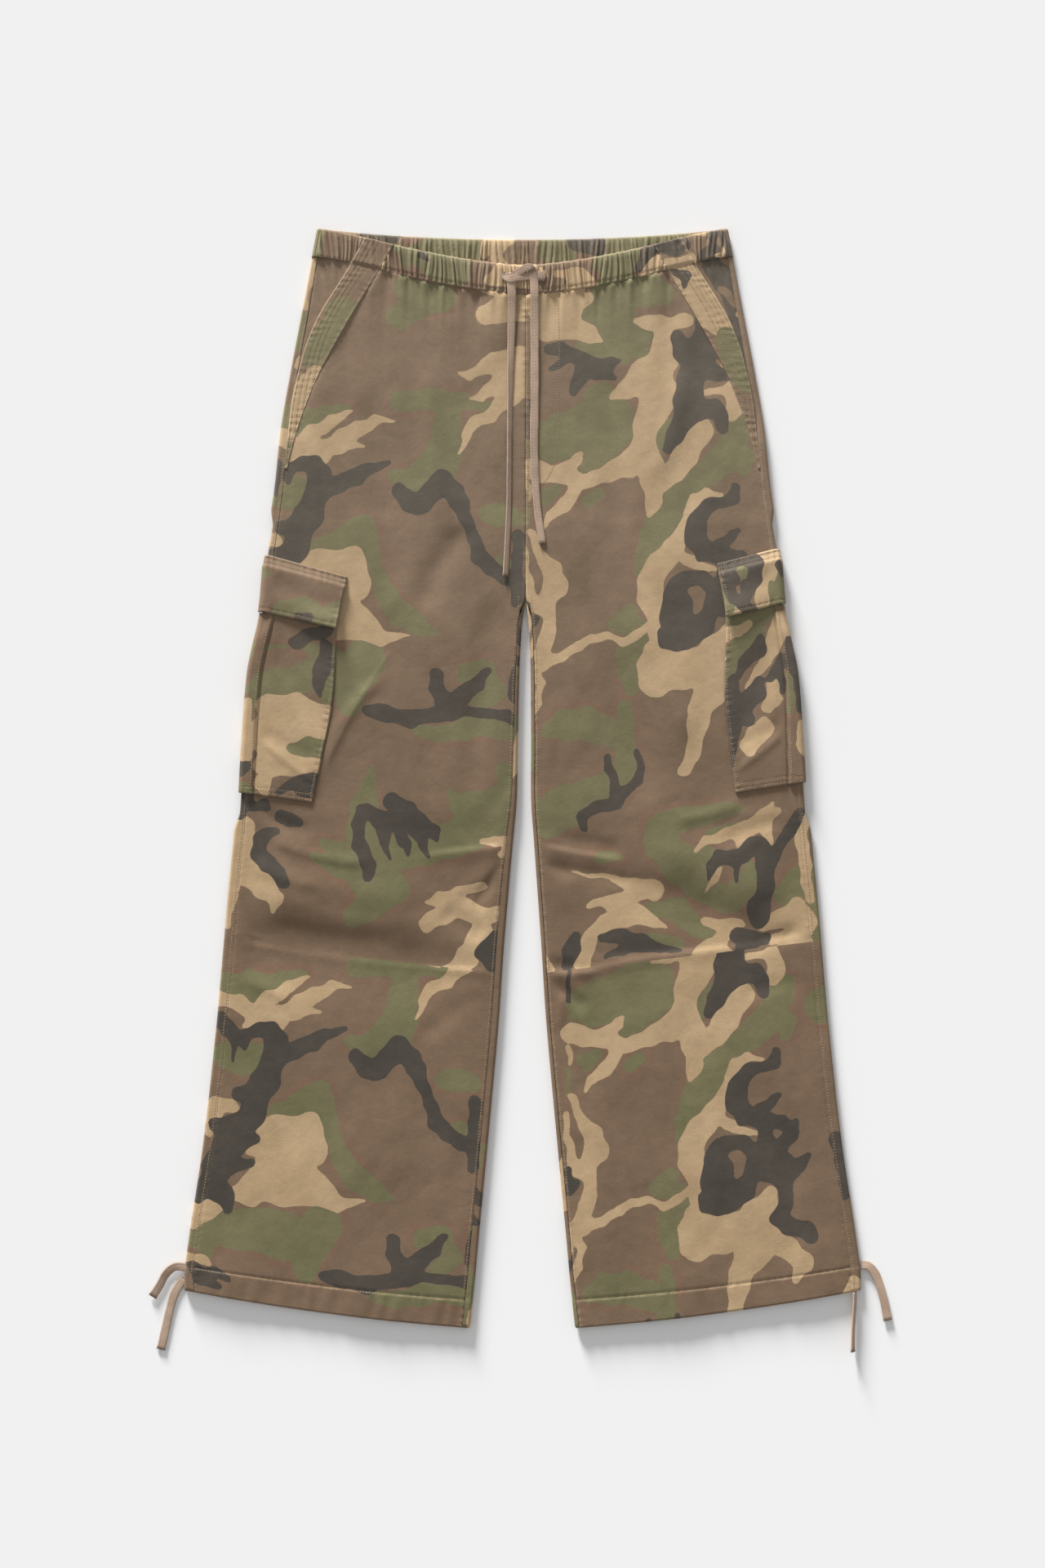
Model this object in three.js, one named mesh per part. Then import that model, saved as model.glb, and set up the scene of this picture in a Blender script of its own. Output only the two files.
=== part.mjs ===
// Wide-legged cargo trousers in camouflage cotton, laid flat with the front up.
// Millimetres. The cloth lies on the plane z = 0, +Y runs from the hems to the waist,
// +X is the wearer's left and +Z is up. The origin is at the middle of the garment's length and width.
// Every panel is a wall of cloth: a grid of points on its outer side and one on its inner side.
import * as THREE from 'three';

// Driving dimensions of the garment
const HEM_Y = -530; // inner end of each hem
const WAIST_FRONT_Y = 494.5; // top of the front casing at the centre
const WAIST_BACK_Y = 519.5; // top of the back casing at the centre
const WAIST_HALF = 198; // half width of the waist, relaxed
const BAND_TOP_X = 152; // a pocket band's outer edge at the top of the waist
const WAIST_FRONT_RISE = 26.5; // rise of the front waist line, centre to pocket band
const WAIST_BACK_RISE = 10.4; // rise of the back waist line, centre to side
const WAIST_EASE = 1.56; // how much the front line flattens towards the side fold
const FRONT_CASING = 27.5; // height of the front casing
const BACK_CASING = 30; // height of the back casing
const CROTCH_Y = 190; // where the two legs part
const CENTRE_SHIFT = 2.8; // the centre seam lies this far to the wearer's left
const CENTRE_SHIFT_END = -230; // and comes back to the middle here

// Cloth and the layers it lies in
const CLOTH = 1.6; // wall of one layer of cloth
const SEAM_GAP = 0.3; // between neighbouring pieces
const BACK_MID = CLOTH / 2; // middle of the back panels, on the floor
const FRONT_MID = 5.8; // middle of the front panels
const FACING_MID = 3.9; // middle of the hip facings, under the pocket bands
const HEM_DEPTH = 26; // turned-up hem
const HEM_EXTRA = 0.8; // the hem's second layer
const INSEAM_IN = 9; // the back panel shows this far inside each inner edge
const FOLD_SLACK = 1.4; // extra gap to the casing, round the side fold

// Waist casing
const CASING_WALL = 2.2;
const CASING_FRONT_Z = 3.8; // underside of the casing's upper layer
const GATHER_HEIGHT = 1.4;
const FRONT_GATHERS = 55;
const BACK_GATHERS = 50;
const SIDE_GATHERS = 8;
const UNDER_FACING_SWELL = 0.3; // the back gathers start lower, under the hip facings

// Cargo pockets
const POCKET_WALL = 2;
const POCKET_LIFT = 2.3; // the back panel lies this much higher over a pocket
const POCKET_FRONT_RISE = 0.5; // and the front panel this much higher
const POCKET_REACH = 5.9; // from the outline in to the centre of the side fold
const POCKET_SLACK = 0.8; // the leg's own side fold lies this much further in
const POCKET_TUCK = 14; // the bag starts this far below the flap's top edge
const FLAP_CLEAR_RISE = 4.2; // flap over the bag, middle to middle of the leg's cloth
const FLAP_SEWN_RISE = 1.9; // flap where it is sewn to the leg
const PLEAT_RISE = 1; // the centre pleat stands up this much
const PLEAT_HALF = 13;

// Half width of the outline, distance of the inner edge from the centre line, and how far the
// side seam lies inside the outline, at stations down the garment
const STATIONS = [
  { y: 540, outline: 196, inner: 0.15, seam: 4 },
  { y: 497, outline: 204, inner: 0.15, seam: 4.5 },
  { y: 449, outline: 213, inner: 0.15, seam: 5.5 },
  { y: 396, outline: 223, inner: 0.15, seam: 6.2 },
  { y: 338, outline: 233, inner: 0.15, seam: 7.3 },
  { y: 275, outline: 240, inner: 0.15, seam: 8.5 },
  { y: 215, outline: 250, inner: 0.15, seam: 10 },
  { y: 190, outline: 252, inner: 0.15, seam: 10 },
  { y: 168, outline: 254, inner: 0.7, seam: 10 },
  { y: 150, outline: 257, inner: 2.9, seam: 10 },
  { y: 129, outline: 262, inner: 4.3, seam: 10 },
  { y: 101, outline: 267.5, inner: 5.4, seam: 10 },
  { y: 32, outline: 273, inner: 6.4, seam: 10 },
  { y: -21, outline: 276, inner: 6.9, seam: 10 },
  { y: -60, outline: 279, inner: 10, seam: 10 },
  { y: -110, outline: 284, inner: 14, seam: 10 },
  { y: -162, outline: 288.5, inner: 18, seam: 10 },
  { y: -236, outline: 295, inner: 23, seam: 10 },
  { y: -352, outline: 308, inner: 33.5, seam: 10 },
  { y: -441, outline: 321.5, inner: 42, seam: 9.5 },
  { y: -480, outline: 326, inner: 45.5, seam: 9 },
  { y: -530, outline: 324, inner: 51, seam: 9 },
];

// Edges of the slanted hand-pocket band: towards the front panel, and at the pocket's mouth
const BAND_STATIONS = [
  { y: 530, front: 116.5, mouth: 148 },
  { y: 490, front: 139, mouth: 169.5 },
  { y: 449, front: 164, mouth: 195 },
  { y: 420, front: 180.5, mouth: 208 },
  { y: 391, front: 196, mouth: 216.3 },
  { y: 365, front: 207, mouth: 222 },
  { y: 340, front: 216, mouth: 225.2 },
  { y: 314, front: 223.5, mouth: 228.2 },
  { y: 296, front: 227.5, mouth: 230 },
];
const BAND_END_Y = 298;
const FACING_END_Y = 372;
const FACING_TUCK = 12; // the facing goes this far under the band
const FACING_GAP = 0.5; // between the facing and the casing

// Inner edge of each cargo pocket and its flap on the front, and the slope of their rows.
// side -1 is the wearer's right; y is measured where a row meets the outline
const POCKET_ROWS = {
  '-1': [
    { y: 215, inner: 169.5, slope: 0.28 },
    { y: 160, inner: 179.5, slope: 0.23 },
    { y: 92, inner: 184, slope: 0.22 },
    { y: -14, inner: 203, slope: 0.14 },
  ],
  '1': [
    { y: 221, inner: 186.5, slope: 0.25 },
    { y: 168, inner: 195, slope: 0.24 },
    { y: 92, inner: 194, slope: 0.2 },
    { y: -4, inner: 205, slope: 0.16 },
  ],
};
const POCKET_WIDTH = 168; // whole width of a pocket, round the side fold

// Largest folds of the front panels. side -1 is the wearer's right. Each runs from one point to
// another with a sag in the middle; height is negative for a trough
const FOLDS = [
  { side: -1, x0: 285, y0: -149, x1: 28, y1: -180, sag: -7, height: 5.5, width: 10 },
  { side: -1, x0: 228, y0: -132, x1: 100, y1: -158, sag: -4, height: -2.2, width: 13 },
  { side: -1, x0: 18, y0: -68, x1: 96, y1: -79, sag: 1, height: 3.6, width: 8 },
  { side: -1, x0: 40, y0: -152, x1: 75, y1: -128, sag: 0, height: -2, width: 10 },
  { side: -1, x0: 190, y0: 12, x1: 139, y1: 95, sag: 8, height: 1.8, width: 7 },
  { side: -1, x0: 60, y0: 238, x1: 99, y1: 168, sag: 4, height: -1.7, width: 12 },
  { side: 1, x0: 20, y0: -177, x1: 283, y1: -168, sag: 10, height: 4.6, width: 10 },
  { side: 1, x0: 14, y0: -59, x1: 92, y1: -74, sag: 0, height: 3.6, width: 8 },
  { side: 1, x0: 44, y0: -85, x1: 108, y1: -93, sag: -2, height: 2.4, width: 7 },
  { side: 1, x0: 112, y0: -116, x1: 198, y1: -143, sag: -3, height: -2.4, width: 13 },
  { side: 1, x0: 283, y0: -137, x1: 238, y1: -149, sag: 0, height: 4.4, width: 9 },
  { side: 1, x0: 50, y0: 190, x1: 120, y1: -20, sag: 6, height: -1.7, width: 14 },
  { side: 1, x0: 110, y0: 160, x1: 160, y1: 40, sag: 4, height: 1.6, width: 14 },
];

// Rows down the front panels and down the back panels, before the waist and hem curves bend them
const FRONT_TOP = WAIST_FRONT_Y - FRONT_CASING - SEAM_GAP;
const BACK_TOP = WAIST_BACK_Y - BACK_CASING - SEAM_GAP;
const FRONT_ROWS = [
  FRONT_TOP, 452, 430, 400, 365, 330, 299, 294, 262, 230, 205, 190, 181, 172, 163, 155,
  138, 112, 80, 45, 10, -20, -42, -58, -70, -82, -96, -112, -128, -141, -152, -162,
  -172, -182, -194, -212, -260, -320, -380, -440, -478, HEM_Y + HEM_DEPTH, HEM_Y + HEM_DEPTH - 3, HEM_Y,
];
const BACK_ROWS = [
  BACK_TOP, 450, 400, 365, 342, 320, 262, 242, 216, 190, 181, 172, 163, 155,
  138, 112, 80, 32, -22, -44, -80, -120, -162, -236, -320, -400, -478,
  HEM_Y + HEM_DEPTH, HEM_Y + HEM_DEPTH - 3, HEM_Y,
];
const FRONT_COLUMNS = 11;

const CLOTH_LOOK = { color: 0x7d6651, roughness: 0.9, metalness: 0 };
const TAPE_LOOK = { color: 0xa88d7c, roughness: 0.8, metalness: 0 };

// Small helpers
const mix = (a, b, t) => a + (b - a) * t;
const clamp01 = (t) => Math.min(1, Math.max(0, t));
const smooth = (t) => clamp01(t) ** 2 * (3 - 2 * clamp01(t));
const UP = Math.PI / 2;

// Value of a column at y, on a smooth curve through the table's rows, which run downwards in y
function along(table, column, y) {
  const last = table.length - 1;
  let i = table.findIndex((row) => row.y <= y);
  if (i < 0) i = last;
  i = Math.max(1, i);
  const at = (k) => table[Math.min(last, Math.max(0, k))];
  const [before, low, high, after] = [at(i - 2), at(i - 1), at(i), at(i + 1)];
  const span = high.y - low.y;
  const slopeLow = (high[column] - before[column]) / (high.y - before.y);
  const slopeHigh = (after[column] - low[column]) / (after.y - low.y);
  const t = clamp01((y - low.y) / span);
  const straight = (high[column] - low[column]) / span;
  const bend = t * (1 - t) * ((1 - t) * (slopeLow - straight) - t * (slopeHigh - straight));
  return mix(low[column], high[column], t) + bend * span;
}

const outline = (y) => along(STATIONS, 'outline', y);
const innerEdge = (y) => along(STATIONS, 'inner', y);
const sideSeam = (y) => outline(y) - along(STATIONS, 'seam', y);

// The legs' own X runs outwards from the centre seam; the seam itself lies a little to one side
function worldX(side, x, y) {
  const shift = CENTRE_SHIFT * smooth((y - CENTRE_SHIFT_END) / (CROTCH_Y - CENTRE_SHIFT_END));
  return side * x + shift * (1 - x / outline(y));
}

// Waist lines: k = 0 on the front side and 1 on the back. The front's curve eases off past the bands
function waistLine(x, k) {
  const eased = WAIST_EASE * Math.max(0, x / BAND_TOP_X - 1) ** 2;
  const front = WAIST_FRONT_Y + WAIST_FRONT_RISE * ((x / BAND_TOP_X) ** 1.5 - eased);
  const back = WAIST_BACK_Y + WAIST_BACK_RISE * (x / WAIST_HALF) ** 2.2;
  return mix(front, back, k);
}

// Hem line: it rises towards the side seam, by 36 in all
function hemRise(x, y) {
  const across = clamp01((x - innerEdge(y)) / (outline(y) - innerEdge(y)));
  return 20 * across + 16 * across ** 2;
}

// Height of a row at x, bent by the waist line near the waist and by the hem line near the hem;
// top is the panel's first row, and slack widens its gap to the casing
function rowY(x, nominal, k, top, slack = 0) {
  const casing = mix(FRONT_CASING, BACK_CASING, k) + SEAM_GAP + slack;
  const waistShift = (waistLine(x, k) - casing - top) * smooth((nominal - top + 110) / 110);
  const hemShift = hemRise(x, nominal) * smooth((HEM_Y + 150 - nominal) / 150);
  return nominal + waistShift + hemShift;
}

// 1 where the cargo pocket lies under and over the leg, 0 away from it
function pocketMask(y) {
  return smooth((262 - y) / 20) * smooth((y + 52) / 20);
}

// 1 on the turned-up hem
function hemMask(nominal) {
  return clamp01((HEM_Y + HEM_DEPTH - nominal) / 3);
}

// Rise or fall of the front cloth from the folds in the table
function foldRise(side, x, y) {
  let rise = 0;
  for (const fold of FOLDS.filter((entry) => entry.side === side)) {
    const [dx, dy] = [fold.x1 - fold.x0, fold.y1 - fold.y0];
    const length = Math.hypot(dx, dy);
    const t = ((x - fold.x0) * dx + (y - fold.y0) * dy) / length ** 2;
    const off = ((x - fold.x0) * -dy + (y - fold.y0) * dx) / length;
    const bow = fold.sag * Math.sign(dx) * 4 * t * (1 - t);
    const ends = smooth((t + 0.12) / 0.2) * smooth((1.12 - t) / 0.2);
    rise += fold.height * ends * Math.exp(-(((off - bow) / fold.width) ** 2));
  }
  return rise;
}

// Middle of the front layer of cloth. The folds die out before the seams
function frontZ(side, x, y) {
  const fromSide = smooth((sideSeam(y) - 2 - x) / 22);
  const fromInner = smooth((x - innerEdge(y) - INSEAM_IN) / 14);
  return FRONT_MID + POCKET_FRONT_RISE * pocketMask(y) + foldRise(side, x, y) * fromSide * fromInner;
}

// A wall of cloth from a grid of outer and inner points: both sides and the rim all round
function wallGeometry(grid) {
  const rows = grid.length;
  const columns = grid[0].length;
  const positions = [];
  for (const face of ['outer', 'inner']) {
    for (const row of grid) {
      for (const point of row) positions.push(...point[face]);
    }
  }
  const outer = (r, c) => r * columns + c;
  const inner = (r, c) => rows * columns + r * columns + c;
  const index = [];
  const quad = (a, b, c, d) => index.push(a, b, c, a, c, d);
  for (let r = 0; r + 1 < rows; r += 1) {
    for (let c = 0; c + 1 < columns; c += 1) {
      quad(outer(r, c), outer(r + 1, c), outer(r + 1, c + 1), outer(r, c + 1));
      quad(inner(r, c), inner(r, c + 1), inner(r + 1, c + 1), inner(r + 1, c));
    }
    quad(outer(r, 0), inner(r, 0), inner(r + 1, 0), outer(r + 1, 0));
    const e = columns - 1;
    quad(outer(r, e), outer(r + 1, e), inner(r + 1, e), inner(r, e));
  }
  for (let c = 0; c + 1 < columns; c += 1) {
    const e = rows - 1;
    quad(outer(0, c), outer(0, c + 1), inner(0, c + 1), inner(0, c));
    quad(outer(e, c), inner(e, c), inner(e, c + 1), outer(e, c + 1));
  }
  if (signedVolume(positions, index) < 0) index.reverse();
  const geometry = new THREE.BufferGeometry();
  geometry.setAttribute('position', new THREE.Float32BufferAttribute(positions, 3));
  geometry.setIndex(index);
  geometry.computeVertexNormals();
  return geometry;
}

function signedVolume(positions, index) {
  const corner = (i) => new THREE.Vector3().fromArray(positions, 3 * i);
  let volume = 0;
  for (let i = 0; i < index.length; i += 3) {
    const [a, b, c] = [corner(index[i]), corner(index[i + 1]), corner(index[i + 2])];
    volume += a.dot(b.cross(c)) / 6;
  }
  return volume;
}

// One point of a wall: its place on the cloth's middle, the direction that its outer side faces
// in the x-z plane, and how far each side lies from the middle
function wallPoint(side, x, y, z, facing, out = CLOTH / 2, inward = CLOTH / 2) {
  const [nx, nz] = [Math.cos(facing), Math.sin(facing)];
  const at = (d) => [worldX(side, x + nx * d, y), y, z + nz * d];
  return { outer: at(out), inner: at(-inward) };
}
function addPiece(group, name, geometry, look) {
  const mesh = new THREE.Mesh(geometry, new THREE.MeshStandardMaterial(look));
  mesh.name = name;
  group.add(mesh);
}

// Inner edge of a front panel: the centre seam above the crotch, the inseam below it
function frontInner(y) {
  const below = smooth((CROTCH_Y - 4 - y) / 16);
  return innerEdge(y) + (INSEAM_IN + SEAM_GAP / 2) * below;
}

// Outer edge of a front panel: the pocket band above, the side seam below
function frontOuter(y) {
  const seam = sideSeam(y) - SEAM_GAP / 2;
  if (y < BAND_END_Y - 1) return seam;
  return Math.min(seam, along(BAND_STATIONS, 'front', y) - SEAM_GAP / 2);
}

// Front panel of one leg, from the casing to the hem
function frontLeg(side) {
  const grid = FRONT_ROWS.map((nominal) => {
    const row = [];
    for (let c = 0; c <= FRONT_COLUMNS; c += 1) {
      const u = c / FRONT_COLUMNS;
      let y = nominal;
      let x = 0;
      for (let pass = 0; pass < 4; pass += 1) {
        x = mix(frontInner(y), frontOuter(y), u);
        y = rowY(x, nominal, 0, FRONT_TOP);
      }
      const hem = HEM_EXTRA * hemMask(nominal);
      row.push(wallPoint(side, x, y, frontZ(side, x, y), UP, CLOTH / 2 + hem));
    }
    return row;
  });
  return wallGeometry(grid);
}

// Level of the back panel's strip that shows on the front side, next to the side seam
function sideStripZ(side, x, y) {
  return mix(frontZ(side, x, y), FACING_MID, smooth((y - 318) / 45));
}

// Back panel of one leg: a strip on the front side, the side fold, the flat back on the floor,
// and below the crotch the inner fold and the strip up to the inseam
const SIDE_FOLD_STEPS = 5;
const INNER_ZONE_STEPS = 8;
const BACK_FLAT_STEPS = 3;
function backLegRow(side, nominal) {
  const lift = pocketMask(nominal);
  const bottom = BACK_MID + POCKET_LIFT * lift;
  const edgeY = rowY(outline(nominal), nominal, 0.5, BACK_TOP);
  const edgeX = outline(edgeY);
  const top = sideStripZ(side, edgeX, edgeY);
  const radius = (top - bottom) / 2;
  const centreX = edgeX - mix(radius + CLOTH / 2, POCKET_REACH + POCKET_SLACK, lift);
  const hem = HEM_EXTRA * hemMask(nominal);
  const row = [];
  const place = (x, z, facing, frontness) => {
    const slack = FOLD_SLACK * smooth(3 * frontness);
    const y = rowY(Math.max(x, 0), nominal, 1 - frontness, BACK_TOP, slack);
    const out = CLOTH / 2 + hem * frontness;
    row.push(wallPoint(side, x, y, z, facing, out, CLOTH / 2 + hem * (1 - frontness)));
  };
  const seam = sideSeam(edgeY) + SEAM_GAP / 2;
  place(seam, sideStripZ(side, seam, edgeY), UP, 1);
  for (let i = 0; i <= SIDE_FOLD_STEPS; i += 1) {
    const facing = UP - (Math.PI * i) / SIDE_FOLD_STEPS;
    const z = (top + bottom) / 2 + radius * Math.sin(facing);
    place(centreX + radius * Math.cos(facing), z, facing, 1 - i / SIDE_FOLD_STEPS);
  }
  // the flat back, lifted over the cargo pocket and ramped down inside it
  const rampTop = pocketBackInner(side, nominal) - 3;
  const rampFoot = rampTop - 20;
  place(mix(centreX, rampTop, 0.5), bottom, -UP, 0);
  place(rampTop, bottom, -UP, 0);
  const zone = innerZone(nominal);
  for (let i = 0; i < BACK_FLAT_STEPS; i += 1) {
    place(mix(rampFoot, zone.flatEnd, i / BACK_FLAT_STEPS), BACK_MID, -UP, 0);
  }
  for (const point of zone.points) place(point.x, point.z, point.facing, point.frontness);
  return row;
}

// The inner zone of a back panel: flat above the crotch, then rolled up more and more towards
// the full inner fold and its strip on the front side
function innerZone(nominal) {
  const radius = (FRONT_MID + POCKET_FRONT_RISE * pocketMask(nominal) - BACK_MID) / 2;
  const arc = Math.PI * radius;
  const strip = INSEAM_IN - CLOTH / 2 - radius - SEAM_GAP / 2;
  const whole = arc + strip;
  const rolled = whole * clamp01((CROTCH_Y - nominal) / 35);
  const flat = whole - rolled;
  const turned = Math.min(rolled / radius, Math.PI);
  const reach = Math.sin(Math.min(turned, UP));
  const start = innerEdge(nominal) + (CLOTH / 2 + radius) * reach;
  const points = [];
  for (let i = 0; i <= INNER_ZONE_STEPS; i += 1) {
    const d = (whole * i) / INNER_ZONE_STEPS;
    const angle = Math.min(Math.max(d - flat, 0) / radius, Math.PI);
    const beyond = Math.max(d - flat - arc, 0);
    points.push({
      x: start + Math.max(flat - d, 0) - radius * Math.sin(angle) + beyond,
      z: BACK_MID + radius * (1 - Math.cos(angle)),
      facing: -UP - angle,
      frontness: angle / Math.PI,
    });
  }
  return { points, flatEnd: start + flat };
}

function backLeg(side) {
  return wallGeometry(BACK_ROWS.map((nominal) => backLegRow(side, nominal)));
}

// Height of a gather at a place along the casing, in gathers: sharp, and uneven in height
function gather(turn, count) {
  const peak = Math.round(turn * count * 2) % 2;
  const uneven = 0.72 + 0.28 * Math.sin(turn * count * 2.4 + 1.3);
  return GATHER_HEIGHT * peak * uneven;
}

// Rows of a casing: how far up it each lies, and how much of a gather's height it has
const CASING_ROWS = [
  { up: 0, swell: 0.7 },
  { up: 0.5, swell: 1 },
  { up: 1, swell: 0.55 },
];

// Front casing, gathered, between the two pocket bands
function frontCasing() {
  const grid = CASING_ROWS.map(({ up, swell }) => {
    const row = [];
    const steps = FRONT_GATHERS * 2;
    for (let i = 0; i <= steps; i += 1) {
      const across = (2 * i) / steps - 1;
      const side = across < 0 ? -1 : 1;
      let x = 0;
      let y = WAIST_FRONT_Y;
      for (let pass = 0; pass < 4; pass += 1) {
        x = Math.abs(across) * (along(BAND_STATIONS, 'front', y) - SEAM_GAP / 2);
        y = waistLine(x, 0) - FRONT_CASING * (1 - up);
      }
      const z = CASING_FRONT_Z + CASING_WALL / 2;
      const top = CASING_WALL / 2 + gather(i / steps, FRONT_GATHERS) * swell;
      row.push(wallPoint(side, x, y, z, UP, top, CASING_WALL / 2));
    }
    return row;
  });
  return wallGeometry(grid);
}

// Back casing: from the right band round the side fold, across the back and round to the left band
function backCasing() {
  const grid = CASING_ROWS.map(({ up, swell }) => {
    const half = casingHalf(up, swell);
    const right = half.map((entry) => casingPoint(-1, entry));
    const left = half.map((entry) => casingPoint(1, entry)).reverse();
    return [...right, ...left.slice(1)];
  });
  return wallGeometry(grid);
}

// One half of the back casing's row, from the band to the centre back
function casingHalf(up, swell) {
  const entries = [];
  const low = CASING_WALL / 2;
  const high = CASING_FRONT_Z + CASING_WALL / 2;
  const radius = (high - low) / 2;
  const lineY = (x, k) => waistLine(x, k) - mix(FRONT_CASING, BACK_CASING, k) * (1 - up);
  const foldY = lineY(WAIST_HALF, 0.5);
  const centreX = outline(foldY) - radius - CASING_WALL / 2;
  let mouth = 0;
  for (let pass = 0; pass < 4; pass += 1) {
    mouth = along(BAND_STATIONS, 'mouth', lineY(mouth, 0)) + SEAM_GAP / 2;
  }
  const sideSteps = SIDE_GATHERS * 2;
  for (let i = 0; i < sideSteps; i += 1) {
    const x = mix(mouth, centreX, i / sideSteps);
    const y = lineY(x, 0);
    const raise = gather(i / sideSteps, SIDE_GATHERS) * swell;
    entries.push({ x, y, z: high, facing: UP, out: low + raise, inward: low });
  }
  const foldSteps = 6;
  for (let i = 0; i <= foldSteps; i += 1) {
    const facing = UP - (Math.PI * i) / foldSteps;
    const x = centreX + radius * Math.cos(facing);
    const z = (low + high) / 2 + radius * Math.sin(facing);
    const y = lineY(x, i / foldSteps);
    entries.push({ x, y, z, facing, out: low, inward: low });
  }
  const backSteps = BACK_GATHERS;
  for (let i = 1; i <= backSteps; i += 1) {
    const x = centreX * (1 - i / backSteps);
    const raise = gather(i / backSteps, BACK_GATHERS / 2) * (up === 0 ? UNDER_FACING_SWELL : swell);
    entries.push({ x, y: lineY(x, 1), z: low, facing: -UP, out: low, inward: low + raise });
  }
  return entries;
}

function casingPoint(side, entry) {
  return wallPoint(side, entry.x, entry.y, entry.z, entry.facing, entry.out, entry.inward);
}

// Slanted band along a hand pocket's mouth, from the casing's top edge down to the side seam
function pocketBand(side) {
  const steps = 16;
  const grid = [];
  for (let r = 0; r <= steps; r += 1) {
    const row = [];
    for (let c = 0; c <= 3; c += 1) {
      let x = 0;
      let y = WAIST_FRONT_Y;
      for (let pass = 0; pass < 6; pass += 1) {
        const front = along(BAND_STATIONS, 'front', y) + SEAM_GAP / 2;
        const mouth = along(BAND_STATIONS, 'mouth', y) - SEAM_GAP / 2;
        x = mix(front, mouth, c / 3);
        y = mix(waistLine(x, 0), BAND_END_Y, r / steps);
      }
      row.push(wallPoint(side, x, y, FRONT_MID, UP));
    }
    grid.push(row);
  }
  return wallGeometry(grid);
}

// Hip facing that shows between the pocket's mouth and the side seam
function pocketFacing(side) {
  const steps = 9;
  const grid = [];
  for (let r = 0; r <= steps; r += 1) {
    const row = [];
    for (let c = 0; c <= 3; c += 1) {
      let x = 0;
      let y = WAIST_FRONT_Y;
      for (let pass = 0; pass < 6; pass += 1) {
        const tucked = along(BAND_STATIONS, 'mouth', y) - FACING_TUCK;
        x = mix(tucked, sideSeam(y) - SEAM_GAP / 2, c / 3);
        y = mix(waistLine(x, 0) - FRONT_CASING - FACING_GAP, FACING_END_Y, r / steps);
      }
      row.push(wallPoint(side, x, y, FACING_MID, UP));
    }
    grid.push(row);
  }
  return wallGeometry(grid);
}

// Where a cargo pocket ends on the underside, at the height of a row
function pocketBackInner(side, y) {
  const table = POCKET_ROWS[side];
  const edge = Math.min(table[0].y, Math.max(table[table.length - 1].y, y));
  const shown = outline(edge) - along(table, 'inner', edge);
  return outline(edge) - POCKET_REACH - (POCKET_WIDTH - shown);
}

// Points across a cargo pocket's row: the front part, the side fold and the underside.
// rise lifts the front part over the leg's cloth; drop moves the fold and the underside down
function pocketRow(side, edgeY, wall, rise, drop, pleat) {
  const table = POCKET_ROWS[side];
  const row = [];
  const place = (x, y, z, facing, raise) => {
    row.push(wallPoint(side, x, y, z, facing, wall / 2 + raise, wall / 2));
  };
  for (const f of [0, 0.25, 0.5, 0.75, 0.85, 0.92, 1]) {
    const edge = edgeY - drop * smooth((f - 0.75) / 0.25);
    const centreX = outline(edge) - POCKET_REACH;
    const x = mix(along(table, 'inner', edge), centreX, f);
    const y = edge - along(table, 'slope', edge) * (centreX - x);
    const raise = pleat * smooth((x - (centreX - PLEAT_HALF) + 1.5) / 3);
    place(x, y, frontZ(side, x, y) + rise, UP, raise);
  }
  const edge = edgeY - drop;
  const centreX = outline(edge) - POCKET_REACH;
  const high = FRONT_MID + POCKET_FRONT_RISE + rise;
  const radius = (high - wall / 2) / 2;
  const foldSteps = 6;
  for (let i = 1; i <= foldSteps; i += 1) {
    const facing = UP - (Math.PI * i) / foldSteps;
    const z = wall / 2 + radius + radius * Math.sin(facing);
    place(centreX + radius * Math.cos(facing), edge, z, facing, pleat * (1 - smooth((2 * i) / foldSteps)));
  }
  const slope = along(table, 'slope', edge);
  const backWidth = POCKET_WIDTH - (outline(edge) - along(table, 'inner', edge));
  for (const f of [0.15, 0.5, 1]) {
    place(centreX - backWidth * f, edge + slope * backWidth * f, wall / 2, -UP, 0);
  }
  return row;
}

// Bag of a cargo pocket, sewn round the side of the thigh, with a raised pleat down its middle.
// Its top is tucked under the flap on the front and ends at the flap's edge on the underside
function cargoPocket(side) {
  const table = POCKET_ROWS[side];
  const top = table[0].y - POCKET_TUCK;
  const belowFlap = table[1].y - SEAM_GAP - 0.5;
  const end = table[table.length - 1].y;
  const rise = CLOTH / 2 + SEAM_GAP + POCKET_WALL / 2;
  const rows = [0, 0.18, 0.24, 0.34, 0.48, 0.65, 0.83, 1];
  const grid = rows.map((f) => {
    const edgeY = mix(top, end, f);
    const under = mix(belowFlap, end, f);
    return pocketRow(side, edgeY, POCKET_WALL, rise, edgeY - under, PLEAT_RISE * smooth(f * 6));
  });
  return wallGeometry(grid);
}

// Flap over the bag: sewn to the leg along its top edge, then lying over the bag
function cargoFlap(side) {
  const table = POCKET_ROWS[side];
  const height = table[0].y - table[1].y;
  const rows = [0, 3, 7, POCKET_TUCK - 3, height * 0.5, height * 0.8, height];
  const grid = rows.map((down) => {
    const ramp = smooth((down - 2) / (POCKET_TUCK - 5));
    const rise = mix(FLAP_SEWN_RISE, FLAP_CLEAR_RISE + PLEAT_RISE, ramp);
    return pocketRow(side, table[0].y - down, CLOTH, rise, 0, 0);
  });
  return wallGeometry(grid);
}

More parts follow.
